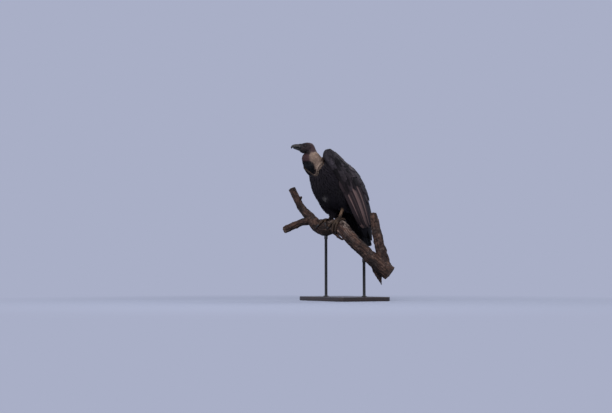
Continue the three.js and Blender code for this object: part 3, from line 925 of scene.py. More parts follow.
SPLINTER = wood([-12, -8, -66, 8], [6, -28, -93, 7], [22, -38, -112, 6], [44, -50, -121, 2])


# ---------- feet ----------
GRIP_LINE = unit((LIMB[5] - LIMB[4])[:3] * [1, 1, 0])
GRIP_ACROSS = np.array([-GRIP_LINE[1], GRIP_LINE[0], 0])
FEET = {"left": [38, -17, 0], "right": [-46, -4, 0]}
HEELS = {"left": [44, 29, 88], "right": [-47, 30, 90]}
TOE_RADIUS = 8
# Each toe: its heading from straight ahead in degrees, outwards positive, its length, its claw's
# length and its thickness as a share of the middle toe's.
TOES = {
    "hind": (196, 40, 27, 0.95),
    "inner": (-30, 60, 27, 0.95),
    "middle": (3, 88, 26, 1),
    "outer": (34, 66, 22, 0.88),
}
JOINT_GAP, SCALE_GAP = 26, 4.4  # from one swelling of a toe to the next, and from scale to scale
SHANK_SCALES = 18
LIMB_SAMPLES = 2001


def over_limb(hand, degrees, forward, lift):
    """Points that wrap round the limb: "forward" from a foot's middle, on a heading so many degrees
    outwards, and "lift" over the bark. How far they go along the limb finds its centre there, and how
    far they go across it turns them round that centre."""
    turn = math.radians(degrees) * HANDS[hand]
    way = np.array([math.sin(turn), -math.cos(turn), 0])
    t = np.linspace(0, 1, LIMB_SAMPLES)
    reach = through(LIMB, t)[:, :3] @ GRIP_LINE
    start = np.array(FEET[hand], float)
    at = np.interp(start @ GRIP_LINE + forward * (way @ GRIP_LINE), reach, t)
    row = through(LIMB, at)
    centre, radius = row[..., :3], row[..., 3]
    over = unit(np.cross(heading(LIMB, at), GRIP_ACROSS))
    aside = (start - centre * [1, 1, 0]) @ GRIP_ACROSS
    round_it = ((aside + forward * (way @ GRIP_ACROSS)) / radius)[..., None]
    far = (radius + lift)[..., None]
    return centre + GRIP_ACROSS * np.sin(round_it) * far + over * np.cos(round_it) * far


def tube_along(name, line, radius, columns, flat=1.0):
    """A tube along points with a radius for each: rings lie square to the line, and "flat" draws them
    out one way."""
    ahead = unit(np.gradient(line, axis=0))
    side = square_to(ahead, GRIP_LINE)
    over = np.cross(ahead, side)
    a = TURN * np.arange(columns) / columns
    ring = side[:, None] * np.cos(a)[None, :, None] + flat * over[:, None] * np.sin(a)[None, :, None]
    return grid_solid(name, line[:, None] + ring * radius[:, None, None])


def toe_mesh(hand, toe):
    """A toe over the bark: thicker at its joints, with a scale's step every few millimetres on top."""
    degrees, length, _, size = TOES[toe]
    s = np.linspace(0, 1, 120)
    thick = TOE_RADIUS * size * np.interp(s, [0, 0.3, 0.6, 0.88, 1], [1.12, 0.95, 0.88, 0.82, 0.5])
    thick = thick * (1 + 0.06 * np.cos(TURN * (s * length / JOINT_GAP - 0.2)))
    line = over_limb(hand, degrees, s * length, thick + 0.6)
    scale = (s * length / SCALE_GAP) % 1.0
    return tube_along("toe", line, thick + 0.9 * scale**0.5 - 0.6, 26)


def claw_points(hand, toe):
    """A claw's line over the bark and its radius: rising from the toe, then curving down to a point."""
    degrees, length, claw, size = TOES[toe]
    keys = [-0.12, 0.03, 0.25, 0.5, 0.78, 1]
    s = np.linspace(keys[0], 1, 34)
    lift = np.interp(s, keys, [6.0, 6.4, 7, 6.2, 4.2, 1.4])
    radius = np.interp(s, keys, [4.0, 4.6, 4.3, 3.4, 2.1, 0.35]) * size
    return over_limb(hand, degrees, length + s * claw, lift), radius


def tarsus_mesh(hand):
    """The shank: a rounded post from the foot to the heel, with rings of scales down its front."""
    foot = over_limb(hand, 0, -2.0, 9.0)
    s = np.linspace(0, 1, 90)
    line = foot + (np.array(HEELS[hand]) - foot) * s[:, None]
    side = np.interp(s, [0, 0.3, 0.6, 0.85, 1], [9.8, 8.5, 8.3, 9.2, 7])
    scale = (s * SHANK_SCALES) % 1.0
    return tube_along("tarsus", line, side - 0.6 * scale**2, 30, flat=1.12)


def palm_mesh(hand):
    """The pad that the toes spread from."""
    return blob("palm", over_limb(hand, 0, -1.0, 12.0), [14, 16, 11], rows=20, columns=32)


# ---------- skin ----------
RUFF_MIDDLE = np.array([0, -123, 289])  # the collar's ring, and the way out of the neck through it
RUFF_AXIS = np.array([0, -0.73, 0.68])
EYE_HOLLOW = 10.5  # the radius of the hollow ring round the eye


def over_ruff(points):
    """How far out of the neck places lie from the collar's plane."""
    return (points - RUFF_MIDDLE) @ RUFF_AXIS


def back_of_ring(v):
    """1 at the back of the collar, where v is 0, and 0 at its front: a cosine brought between 0 and 1,
    then squared."""
    return ((1 + np.cos(TURN * v)) / 2) ** 2


def hindness(points):
    """0 on the front of the neck and 1 on its sides and back, parted by a line and soft noise."""
    heights = [248, 262, 282, 292, 304, 311, 326, 340, 354]
    line = np.interp(points[:, 2], heights, [-157, -159, -166, -172, -180, -185, -195, -188, -179])
    return step_between(-9, 9, points[:, 1] - line + 7 * layered(points, 13, 2, seed=8))


def faceness(points):
    """1 on the dusky face and crown and 0 on the neck, parted by a line that drops towards the throat."""
    ahead = in_head(points)[0]
    rise = points[:, 2] - 361 + 0.24 * ahead + 6 * layered(points, 14, 2, seed=9)
    return step_between(-8, 8, rise)


def eye_distance(ahead, up):
    """How far a place on the head is from the eye's middle, seen from the side."""
    return np.hypot(ahead + EYE_PLACE[1], up - EYE_PLACE[2])


def wingness(points):
    """1 on the folded arms and 0 on the neck between them, which keeps to a width and a back line."""
    x, y, z = points.T
    wide = np.abs(x) - np.interp(z, [290, 310, 335], [64, 60, 52])
    behind = y - np.interp(z, [262, 322, 351, 383, 400], [-60, -93, -118, -134, -140]) - 9
    return step_between(-3, 3, np.maximum(wide, behind))


def mixed(first, second, share):
    """The first colour where the share is 0 and the second where it is 1."""
    return first + (second - first) * np.asarray(share)[..., None]


def under_crop(points):
    """The height over the pale line that runs in a V under the crop and up both sides of the neck."""
    across = [-60, -40, -20, -6, 7, 15, 19, 24, 33, 45, 51, 56, 60]
    heights = [310, 293, 279, 269, 261, 254, 246, 236, 236, 248, 262, 278, 294]
    return points[:, 2] - np.interp(points[:, 0], across, heights)


def pale_rim(x, lightest):
    """The pale line's colour: dusky on its right, and lighter to the left. The dusky right, on the side
    turned away from the light, is painted shade.
    """
    return mixed(CREAM * 0.14, CREAM * lightest, step_between(-8, 22, x))


def markings(points, neck=True):
    """The colour of skin and coat at places on the body, as soft-edged areas laid one over another: dark
    body, white rump, maroon front neck, buff sides and back of the neck, dark crop, dusky face, and painted
    shade by the ruff and under the jaw."""
    x, y, z = points.T
    patches = 0.5 + 0.5 * layered(points, 26, 3, seed=5)
    shade = mixed(DARK_BODY, BELLY, step_between(250, 120, z))
    back = step_between(-20, 30, y * 0.72 + z * 0.7 - 150)
    shade = mixed(shade, MANTLE, back * step_between(90, 190, z))
    rump = back * step_between(225, 195, z) * step_between(56, 40, np.abs(x)) * step_between(20, 60, y)
    shade = mixed(shade, RUMP_WHITE, rump * step_between(60, 95, z))
    on_neck = step_between(-3, 3, over_ruff(points)) * step_between(240, 250, z) * (1 - wingness(points))
    hind = hindness(points)
    bare = mixed(FRONT_NECK, HINDNECK * (0.62 + 0.55 * patches)[:, None], hind)
    crop = step_between(316, 304, z + 0.4 * (y + 200) + 8 * (patches - 0.5)) * (1 - hind)
    bare = mixed(bare, CROP, crop)
    rim = under_crop(points) + 4 * (patches - 0.5)
    on_rim = bump(rim, -1, 3.2) * (1 - hind) * step_between(-140, -150, y)
    bare = mixed(bare, pale_rim(x, 0.7), on_rim)
    bare = mixed(bare, BELLY, step_between(-2, -7, rim) * step_between(-138, -146, y))
    # Painted shade: a dark patch where the neck meets the ruff and the hump.
    bare = mixed(bare, CROWN * 0.6, 0.85 * close_to(points, [51, -131, 312], [13, 11, 20]))
    ahead, _, up = in_head(points)
    face = mixed(FACE, CROWN, step_between(8, 22, up) * step_between(66, 40, ahead))
    lores = bump(ahead, 57, 17) * bump(up, 9, 8)
    face = mixed(face, BROW, np.clip(lores * 1.15, 0, 1))
    face = mixed(face, CROWN * 1.3, 0.8 * step_between(30, 12, ahead))
    # Painted shade under the jaw: the skin of the chin and throat below the gape is darkened.
    face = mixed(face, BROW * 0.4, 0.8 * step_between(-15, -24, up) * step_between(22, 38, ahead))
    bare = mixed(bare, face, faceness(points))
    return mixed(shade, bare, on_neck * neck)


def head_relief(points):
    """How far the bare skin stands out over the plain form: brow, cheek and folds stand up, and the
    socket, ear and gape sink in, each a bell or window in the head's own directions."""
    ahead, left, up = in_head(points)
    near = step_between(-12, 4, ahead) * step_between(-48, -40, up)
    side = step_between(6, 13, np.abs(left))
    brow = 3.2 * bump(up, 11.6 - 0.12 * (ahead - 51), 2.8) * bump(ahead, 52, 14)
    socket = -2.0 * bump(eye_distance(ahead, up), EYE_HOLLOW, 3.0)
    cheek = 1.3 * bump(ahead, 38, 11) * bump(up, -15, 9)
    ear = np.hypot(ahead - 25, (up + 7) / 1.3)
    ear = 1.0 * bump(ear, 4.4, 1.6) - 3.4 * bump(ear, 0, 2.6)
    gape = -1.5 * bump(up, -15.5 - 0.16 * (66 - ahead), 1.5) * step_between(44, 52, ahead)
    creases = 0.5 * layered(points * [1, 1, 1.4], 5.0, 3, seed=11)
    on_head_part = near * (side * (brow + socket + cheek + ear + gape) + creases)
    neck_part = step_between(4, 20, over_ruff(points)) * (1 - near)
    rings = noise(points * [0.35, 0.35, 1.5], 6.0, seed=21)
    rings = rings + 0.6 * noise(points * [0.5, 0.5, 1.8], 3.4, seed=22)
    return on_head_part + neck_part * 0.9 * rings


def eye_frame(sign):
    """An eye's middle on the head, the way it looks, and two directions across it."""
    middle = np.array([sign * EYE_PLACE[0], *EYE_PLACE[1:]])
    look = unit(np.array([sign * 1.0, -0.3, 0.06]))
    back = unit(np.cross(UP, look)) * sign
    return middle, look, back, unit(np.cross(look, back)) * sign


def lid_mesh(sign):
    """The lids: a low ring that hugs the eyeball round an almond opening, thickest over the eye. Its
    section is an ellipse that leans back to the head on its outer side."""
    centre, look, back, up = eye_frame(sign)
    a = (TURN * np.arange(72) / 72)[:, None]
    b = (TURN * np.arange(14) / 14)[None, :]
    wide, tall = 6.3 * np.cos(a), 4.6 * np.sin(a) * (1 - 0.1 * np.cos(a))
    out = back * wide[..., None] + up * tall[..., None]
    far = np.linalg.norm(out, axis=-1, keepdims=True)
    rise = np.sqrt(np.maximum((EYE_RADIUS + 0.1) ** 2 - far**2, 0))
    middle = centre + out * 1.06 + look * rise
    heavy = 1 + 0.5 * np.clip(np.sin(a), 0, 1)
    aside = 1.25 * heavy * np.cos(b)
    forward = heavy * (0.85 * np.sin(b) - 0.9 * np.cos(b))
    section = unit(out) * aside[..., None] + look * forward[..., None]
    return grid_solid("lid", on_head(middle + section), -sign, looped=True)


def build_skin(material):
    """One skin round the head, neck, body, thighs, arms, feet and lids, set in by the coat's depth where
    feathers lie over it. Then its relief is raised, the seams round the palms are eased, and each point
    gets the colour of its marking."""
    parts = [
        solid_of("neck_and_head", neck_and_head, 230, 150),
        solid_of("body", rounded(TRUNK, inset=COAT), 60, 72),
    ]
    for hand, sign in HANDS.items():
        parts += [
            solid_of("thigh", rounded(THIGHS[hand], inset=LIMB_COAT), 40, 40),
            solid_of("arm", arm_surface(hand, inset=LIMB_COAT), 60, 48, low=0.01, high=0.46),
            tarsus_mesh(hand),
            palm_mesh(hand),
            *(toe_mesh(hand, toe) for toe in TOES),
            lid_mesh(sign),
        ]
    mesh = union("skin", parts)
    raise_points(mesh, head_relief(points_of(mesh)))
    points = points_of(mesh)
    near = sum(close_to(points, over_limb(hand, 0, -1.0, 8.0), 22) for hand in HANDS)
    relax(mesh, 0.6 * np.clip(near * 1.3, 0, 1), 4)
    foot = step_between(92, 84, points[:, 2])
    scales = 0.75 + 0.5 * layered(points, 9, 3, seed=6)
    leg = LEG * (scales * (0.4 + 0.6 * step_between(6, 26, points[:, 2])))[:, None]
    give(mesh, "tint", mixed(markings(points), leg, foot), "FLOAT_COLOR")
    flesh = [f"{part}_{hand}" for part in ("thigh", "tarsus", "foot") for hand in HANDS]
    return finish_piece("skin", mesh, material, "face", ["trunk", "neck", "head", *flesh])


# ---------- bill, eyes and claws ----------
# On the head: forward, height of the line, side, up, down. "up" reaches the culmen.
UPPER_BILL = [
    [64, -11, 14.0, 25.0, 3],
    [77, -10, 13.6, 22.7, 3],
    [84, -9.7, 12.6, 20.4, 3],
    [88, -9.5, 11.8, 18.9, 3.2],
    [99, -10, 10.2, 17, 3.6],
    [109, -11, 8.4, 15, 3.5],
    [117, -12.5, 6.2, 11.5, 3],
    [122, -16.5, 3.8, 6.8, 2.4],
    [123, -22.5, 0.9, 1.4, 0.9],
]
LOWER_BILL = [
    [60, -20, 11.4, 7, 9],
    [75, -19.5, 11.2, 7, 7.6],
    [88, -19, 9.4, 6.6, 5.6],
    [100, -18.5, 7.2, 6.0, 4.2],
    [109, -18, 4.8, 4.6, 2.8],
    [114, -17.6, 1.6, 2.0, 1.4],
]


def bill_mesh(name, rows, ridge, edge):
    """A bill half: at each station a closed curve whose sides are flat and whose top draws to a ridge,
    by powers of its cosine and sine. The upper half's cere stands up behind a groove, with a nostril
    that is a slit with a raised lip."""
    rows = np.array([[0, -ahead, z, *sizes] for ahead, z, *sizes in rows], float)
    u = np.linspace(0, 1, 110)[:, None]
    a = TURN * (np.arange(64) / 64)[None, :]
    row = through(rows, u + 0 * a)
    side = np.array([1.0, 0, 0])
    over = np.cross(heading(rows, u), side)
    c, s = np.cos(a), np.sin(a)
    wide = signed_power(c, np.where(s > 0, 0.9, 0.7)) * row[..., 3]
    tall = np.where(s > 0, np.abs(s) ** ridge * row[..., 4], -(np.abs(s) ** edge) * row[..., 5])
    own = row[..., :3] + side * wide[..., None] + over * tall[..., None]
    mesh = grid_solid(name, on_head(own))
    ahead, left, up = in_head(points_of(mesh))
    relief = 0.12 * noise(np.stack([ahead * 0.2, left, up], -1), 1.6, seed=3)
    if name == "upper":
        slit = np.hypot((ahead - 80.5 - 0.25 * (up - 1)) / 1.5, (up - 1) / 4.0)
        nostril = 0.5 * bump(slit, 1.9, 0.5) - 2.4 * bump(slit, 0, 1.0)
        cere = step_between(87, 82, ahead) - 0.5 * bump(ahead, 86.5, 1.4)
        relief = relief + nostril + cere
    raise_points(mesh, relief)
    return mesh


def bill_tint(points):
    """Silver-grey horn, dark along the cutting edge, at the tip and on the lower half."""
    ahead, _, up = in_head(points)
    share = step_between(-2, -8, up - 0.02 * (ahead - 90)) + step_between(108, 119, ahead)
    shade = mixed(HORN, HORN_DARK, np.clip(share, 0, 1))
    return mixed(shade, CERE, step_between(86, 80, ahead) * step_between(-14, -6, up))


def build_bill(material):
    """Both halves of the bill, with their own ridge and edge."""
    for name, rows, ridge, edge in (("upper", UPPER_BILL, 1.12, 0.5), ("lower", LOWER_BILL, 0.6, 1.0)):
        mesh = bill_mesh(name, rows, ridge, edge)
        give(mesh, "tint", bill_tint(points_of(mesh)), "FLOAT_COLOR")
        finish_piece(f"bill_{name}_horn", mesh, material, "bill", [f"bill_{name}"])


def build_eyes(material):
    """Each eye is a ball about its own line of sight, with the clear front swelling over the iris. Its
    colours go by the angle off that line: pupil, flecked iris, then the dark of the eye."""
    rows, columns = 60, 48
    for hand, sign in HANDS.items():
        centre, look, back, up = eye_frame(sign)
        off = np.linspace(0.02, math.pi - 0.02, rows)[:, None]
        spin = TURN * np.arange(columns)[None, :] / columns
        far = EYE_RADIUS + 1.1 * bump(off, 0, 0.62)
        aside = back * np.cos(spin)[..., None] + up * np.sin(spin)[..., None]
        way = look * np.cos(off)[..., None] + aside * np.sin(off)[..., None]
        mesh = grid_solid("eye", on_head(centre + way * far[..., None]), -sign)
        off = np.concatenate([np.repeat(off.ravel(), columns), [0, math.pi]])
        spin = np.concatenate([np.tile(spin.ravel(), rows), [0, 0]])
        iris = mixed(IRIS, IRIS_FLECK, 0.5 + 0.5 * np.sin(spin * 23) * np.sin(off * 60))
        shade = mixed(PUPIL, iris, step_between(0.36, 0.4, off))
        shade = mixed(shade, EYE_DARK, step_between(0.62, 0.72, off))
        give(mesh, "tint", shade, "FLOAT_COLOR")
        finish_piece(f"eyeball_{hand}", mesh, material, "eye", [f"eye_{hand}"])


def build_claws(material):
    """Each foot's four claws in one piece."""
    for hand in HANDS:
        parts = [tube_along("claw", *claw_points(hand, toe), 18, flat=1.15) for toe in TOES]
        nodes = [f"claw_{hand}_{toe}" for toe in TOES]
        finish_piece(f"claws_{hand}", union("claws", parts), material, "claw", nodes)


# ---------- branch ----------
BLOCK = 8192  # points measured against a centre line at a time
GRAIN_STRETCH = 0.2  # a pattern on the wood is drawn out five times along it
BRANCH_GAP = 997  # sets the patterns of the centre lines apart
THICK_INSET, THIN_INSET, THIN = 1.2, 0.3, 9  # how far tubes lie under the bark's mean height, by radius


def lay_of_the_wood(points):
    """Places on the wood as its grain sees them: the offset from the nearest centre line, and the
    distance along it drawn out, so that a pattern there runs along the branch. Also how clear of any
    other centre line each place is, from 0 in a fork to 1."""
    lays, gaps = [], []
    for number, rows in enumerate((LIMB, PRONG, TWIG, STUB)):
        line = through(rows, np.linspace(0, 1, 110))
        centre, size = line[:, :3], line[:, 3]
        ahead = unit(np.gradient(centre, axis=0))
        side = square_to(ahead, AWAY)
        run = np.concatenate([[0], np.cumsum(np.linalg.norm(np.diff(centre, axis=0), axis=1))])
        gap, nearest = np.empty(len(points)), np.empty(len(points), int)
        for first in range(0, len(points), BLOCK):
            block = slice(first, first + BLOCK)
            far = np.linalg.norm(points[block, None] - centre[None], axis=-1) - size
            nearest[block], gap[block] = far.argmin(1), far.min(1)
        offset = points - centre[nearest]
        ways = side, np.cross(ahead, side), ahead
        aside, over, past = (np.sum(offset * way[nearest], -1) for way in ways)
        travelled = past + run[nearest] + BRANCH_GAP * number
        lays.append(np.stack([aside, over, GRAIN_STRETCH * travelled], -1))
        gaps.append(gap)
    order = np.argsort(gaps, axis=0)
    every = np.arange(len(points))
    gaps = np.array(gaps)
    clear = step_between(1, 15, gaps[order[1], every] - gaps[order[0], every])
    return np.array(lays)[order[0], every], clear


def capped(surface, rows, columns, rings=7):
    """A grid of a surface's points with rings that step in to the middle of both ends."""
    u = np.linspace(0, 1, rows)[:, None]
    grid = surface(u, (np.arange(columns) / columns)[None, :])
    share = np.linspace(0, 1, rings + 2)[1:-1, None, None]
    low = grid[0] + (grid[0].mean(0) - grid[0]) * share[::-1]
    high = grid[-1] + (grid[-1].mean(0) - grid[-1]) * share
    return np.concatenate([low, grid, high])


def build_branch(material):
    """Tubes joined into one, then lifted and cut along their normals by noise that runs with the grain:
    broad lumps, bark plates, and fissures where a noise crosses nought. It is calm under the feet."""
    tubes = []
    for rows, steps, sides, across in (
        (LIMB, 330, 112, UP), (PRONG, 110, 68, UP), (TWIG, 84, 58, UP), (STUB, 160, 70, AWAY),
        (KNOB, 20, 40, UP), (BARK_SPIKE, 70, 46, ALONG), (SPLINTER, 70, 22, AWAY),
    ):
        surface = rounded(rows, across, inset=THICK_INSET if rows[0][3] > THIN else THIN_INSET)
        tubes.append(grid_solid("wood", capped(surface, steps, sides)))
    mesh = union("branch", tubes)
    points = points_of(mesh)
    lay, clear = lay_of_the_wood(points)
    calm = 1 - 0.75 * close_to(points[:, :2], 0, 85) * step_between(-70, -30, points[:, 2])
    lumps = 3.0 * noise(points, 34, seed=31) + 2.4 * noise(points, 15, seed=32)
    lumps = lumps + 1.1 * noise(points, 7, seed=39)
    plates = 1.5 * layered(lay, 7.5, 3, seed=33) * clear
    fissure = np.abs(noise(lay, 9, seed=36) + 0.35 * noise(lay, 3.5, seed=37))
    cracks = -2.8 * clear * step_between(0.18, 0.0, fissure)
    cracks = cracks * step_between(-0.5, 0.3, noise(points, 40, seed=38))
    raise_points(mesh, (lumps + plates + cracks) * calm)
    patches = noise(points, 19, seed=40) + 0.6 * noise(points, 8, seed=42) + 0.5 * noise(lay, 5, seed=41)
    near_feet = close_to(points, [32, 20, -20], 70)
    # Painted shade: "shade" darkens the bark on faces that turn downwards and round the limb's knee, where
    # shade falls, on top of a random change of tone.
    above = step_between(-0.7, 0.5, normals_of(mesh)[:, 2])
    worn = step_between(0.1, 0.7, patches + 0.5 * near_feet) * (0.12 + 0.88 * near_feet)
    knee_shadow = close_to(points, LIMB[3:5, :3].mean(0), [46, 46, 60])
    shade = (0.45 + 0.55 * above) * (1 - 0.5 * knee_shadow) * (1 + 0.25 * noise(points, 48, seed=43))
    cut = 0
    for rows in (LIMB, TWIG, PRONG, STUB):
        end, way = rows[-1][:3], unit(rows[-1][:3] - rows[-2][:3])
        near = np.linalg.norm(points - end, axis=-1) < 1.4 * rows[-1][3]
        cut = cut + near * step_between(-1.6, -0.2, (points - end) @ way)
    # The worn patches are lightest on faces that turn up: partly wear and partly a painted highlight on the
    # tops.
    values = {"shade": shade, "worn": worn * (0.3 + 0.7 * above), "clear": clear, "cut": np.clip(cut, 0, 1)}
    for name, value in values.items():
        give(mesh, name, value, "FLOAT")
    give(mesh, "lay", lay, "FLOAT_VECTOR")
    nodes = [f"branch_{part}" for part in ("limb", "prong", "twig", "stub")]
    finish_piece("branch", mesh, material, "bark", nodes)


# ---------- display stand ----------
BASE_CORNER, BASE_BEVEL, BASE_RINGS = 26, 3, 60  # radii, and how far in from the edge the flat rings go
FLANGE = 15  # the radius of a rod's foot


def own_box(node):
    """A node's lowest and highest corners in millimetres of the bird's frame."""
    return [(np.array(corner) - ORIGIN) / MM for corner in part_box(node)]


def turned_post(name, x, y, profile):
    """A lathe-turned piece: pairs of height and radius carried round an upright line."""
    profile = np.array(profile, float)
    a = TURN * np.arange(48)[None, :] / 48
    z, r = profile[:, :1], profile[:, 1:]
    ring = np.stack([x + r * np.cos(a), y + r * np.sin(a), z + 0 * a], -1)
    return grid_solid(name, ring)


def build_base(material):
    """The board: rings of a rounded rectangle that go out under it, up round its bevelled edge as two
    quarter circles, and in again over its top."""
    low, high = own_box("stand_base")
    middle, half = (low + high) / 2, (high - low) / 2
    tall, arc = 2 * half[2], 12
    a = np.concatenate([np.linspace(k, k + 1, arc) for k in range(4)]) * math.pi / 2
    sign = np.repeat([[1, 1], [-1, 1], [-1, -1], [1, -1]], arc, 0)
    turn = np.linspace(0, math.pi / 2, 6)
    flat_rings = np.linspace(BASE_RINGS, BASE_BEVEL, 4)[:-1]
    under, beside = BASE_BEVEL * (1 - np.sin(turn)), BASE_BEVEL * (1 - np.cos(turn))
    inset = np.concatenate([flat_rings, under, beside, flat_rings[::-1]])
    rise = np.concatenate([0 * flat_rings, beside, tall - under, tall + 0 * flat_rings])
    radius = np.maximum(BASE_CORNER - inset, 0.5)[:, None]
    corner = (half[:2] - np.maximum(BASE_CORNER, inset + 0.5)[:, None])[:, None, :] * sign
    flat = middle[:2] + corner + np.stack([np.cos(a), np.sin(a)], -1) * radius[..., None]
    height = np.broadcast_to((low[2] + rise)[:, None, None], (*flat.shape[:2], 1))
    mesh = grid_solid("base", np.concatenate([flat, height], -1))
    finish_piece("display_base", mesh, material, "stand_board", ["stand_base"])


def build_rods(material):
    """Each rod: a foot on the board, a neck that draws in to the shaft, and a cap that holds the limb."""
    for hand in HANDS:
        foot, top = own_box(f"stand_rod_{hand}")
        z, end, r = foot[2], top[2], (top[0] - foot[0]) / 2
        plate = [[z - 0.4, 0.5], [z - 0.4, FLANGE], [z + 2.6, FLANGE], [z + 3.4, FLANGE - 0.8]]
        neck = [[z + 4, FLANGE - 3], [z + 5, r + 1.2], [z + 7, r + 0.2], [z + 9, r]]
        cap = [[end - 22, r], [end - 21.5, r + 2], [end - 2, r + 2], [end + 1, r + 1], [end + 1, 0.5]]
        mesh = turned_post("rod", *(foot[:2] + top[:2]) / 2, [*plate, *neck, *cap])
        finish_piece(f"display_rod_{hand}", mesh, material, "stand_rod", [f"stand_rod_{hand}"])


# ---------- plumage ----------
# Parts of the baking map, each as a corner and a size.
LOW_LEFT, LOW_RIGHT, TOP_LEFT = (0.02, 0.02, 0.46, 0.46), (0.52, 0.02, 0.46, 0.46), (0.02, 0.52, 0.46, 0.46)
LEFT_HALF, RIGHT_HALF = (0.02, 0.02, 0.46, 0.96), (0.52, 0.02, 0.46, 0.96)
FIRST_THIRD, SECOND_THIRD, LAST_THIRD = ((low, 0.02, 0.3, 0.96) for low in (0.02, 0.35, 0.68))

PALE_SPOT = np.array([37, -106, 118])  # a few grey feathers low on the breast


def coat_of_body(material):
    """Short rounded feathers over breast, belly and flanks, longer towards the vent."""
    rng = np.random.default_rng(1)
    coat = Coat()
    below_crop = lambda u, v, p: (under_crop(p) < 0) | (np.abs(p[:, 0]) > 57) | (p[:, 1] > -125)
    u, v = scattered(trunk, rng, (0.0, 0.99), (0.47, 1.03), (9.5, 11.5), keep=below_crop)
    place = trunk(u, v)
    size = 24 + 14 * step_between(0.25, 0.9, u) + rng.uniform(-2, 2, len(u))
    shade = mottled(varied(markings(place, neck=False), rng, len(u), 0.2), place, 36, 64, 0.3)
    pale = close_to(place, PALE_SPOT, [10, 10, 13])
    shade = mixed(shade, PALE_FEATHER, np.clip(1.2 * pale, 0, 1))
    coat.add(trunk, u, v, size, size * 0.56, shade, rng, turn=rng.normal(0, 0.12, len(u)), low=-5,
             lift=5.6 + rng.uniform(-0.6, 1.0, len(u)), camber=0.22, rows=8, columns=5, ragged=0.13)
    return coat.piece("feathers_underparts", material, "plumage")


def coat_of_back(material):
    """The mantle from the collar down between the wings, then the white rump."""
    rng = np.random.default_rng(2)
    coat = Coat()
    between_wings = lambda u, v, p: np.abs(p[:, 0]) < 84
    u, v = scattered(trunk, rng, (-0.07, 0.98), (0.03, 0.47), (11.5, 15), keep=between_wings)
    place = trunk(u, v)
    size = 33 + 12 * step_between(0.1, 0.5, u) + rng.uniform(-3, 3, len(u))
    shade = mottled(varied(markings(place, neck=False), rng, len(u), 0.18), place, 36, 66, 0.25)
    coat.add(trunk, u, v, size, size * 0.62, shade, rng, turn=rng.normal(0, 0.1, len(u)),
             low=-5 - 7 * step_between(0, -0.06, u), lift=6.2 + rng.uniform(-0.6, 1.0, len(u)),
             camber=0.2, rows=8, columns=5)
    return coat.piece("feathers_mantle_and_rump", material, "plumage")


def coat_of_thighs(material):
    """Loose narrow feathers that hang round each thigh down to the heel."""
    for seed, (hand, surface) in enumerate(thighs.items(), 3):
        rng = np.random.default_rng(seed)
        coat = Coat()
        u, v = scattered(surface, rng, (0.0, 0.97), (0.0, 1.0), (8.5, 10))
        size = 25 + 7 * step_between(0.2, 0.7, u) - 12 * step_between(0.7, 1, u)
        size = size + rng.uniform(-2, 2, len(u))
        shade = varied(mixed(BELLY, DARK_BODY, step_between(0, 1, u)), rng, len(u), 0.16)
        coat.add(surface, u, v, size, size * 0.5, shade, rng, turn=rng.normal(0, 0.14, len(u)), low=-5,
                 lift=6 + rng.uniform(-1, 1.6, len(u)), camber=0.3, outline=lance, rows=7, columns=5)
        coat.piece(f"feathers_thigh_{hand}", material, "plumage")


def mottled(shade, points, size, seed, depth=0.4):
    """A tint for each root, lighter and darker in drifts of a few feathers."""
    return shade * (1 + depth * layered(points, size, 2, seed))[:, None]


def covert_length(u):
    """Coverts grow along the arm from scales on the wrist to long blades."""
    return 23 + 66 * step_between(0.08, 0.46, u) ** 1.1


def ring_of_roots(u, tip, count):
    """Evenly spaced feathers that all start at u and end at the tip's u, half a gap on for odd counts."""
    return np.full(count, u), np.full(count, tip), (np.arange(count) + 0.5 * (count % 2)) / count


def coverts(hand, rng):
    """Rows of coverts over the arm's outer face, rings of small ones over its round end, and dark ones
    on its inner face."""
    arm, coat = arm_surface(hand), Coat()
    apart = lambda u: (0.34 * covert_length(u), 10.5 + 6 * step_between(0.05, 0.4, u))
    top = scattered(arm, rng, (0.02, 0.11), (-0.14, 0.86), apart)
    rest = scattered(arm, rng, (0.11, 0.43), (-0.14, 0.64), apart)
    u, v = (np.concatenate(both) for both in zip(top, rest))
    place = arm(u, v)
    size = covert_length(u) * rng.uniform(0.9, 1.1, len(u))
    shade = mixed(HUMP, COVERT, step_between(0.02, 0.16, u))
    # Painted shade: coverts along the arm's front edge are darkened to half.
    shade = shade * (0.5 + 0.5 * step_between(0.0, 0.16, v))[:, None]
    shade = mixed(shade, STRIPE_DARK * 1.1, 0.6 * step_between(0.22, 0.42, u))
    shade = mottled(varied(shade, rng, len(u), 0.42), place, 34, 50, 0.4)
    patched = 0.5 - 1.1 * step_between(-0.05, 0.3, layered(place, 27, 2, 51))
    shade = shade * (1 + patched * step_between(0.04, 0.2, u))[:, None]
    coat.add(arm, u, v, size, 15 + 0.27 * size, shade, rng, turn=rng.normal(0, 0.07, len(u)), low=-3.2,
             lift=4.0 + rng.uniform(-0.4, 0.6, len(u)), camber=0.13, rows=9, columns=7, patch=LOW_LEFT)
    rings = [ring_of_roots(*ring) for ring in ((0.0008, 0.05, 7), (0.004, 0.065, 12), (0.011, 0.08, 15))]
    u, to, v = (np.concatenate(each) for each in zip(*rings))
    coat.add(arm, u, v, 1, 17, varied(HUMP, rng, len(u), 0.3), rng, low=-3.2, lift=3.4, camber=0.13,
             rows=9, columns=7, to=to, patch=TOP_LEFT)
    u, v = scattered(arm, rng, (0.1, 0.46), (0.55, 1.0), (12, 15))
    coat.add(arm, u, v, 34, 21, varied(DARK_BODY, rng, len(u), 0.2), rng, turn=rng.normal(0, 0.1, len(u)),
             low=-5, lift=6, camber=0.3, patch=LOW_RIGHT)
    return coat


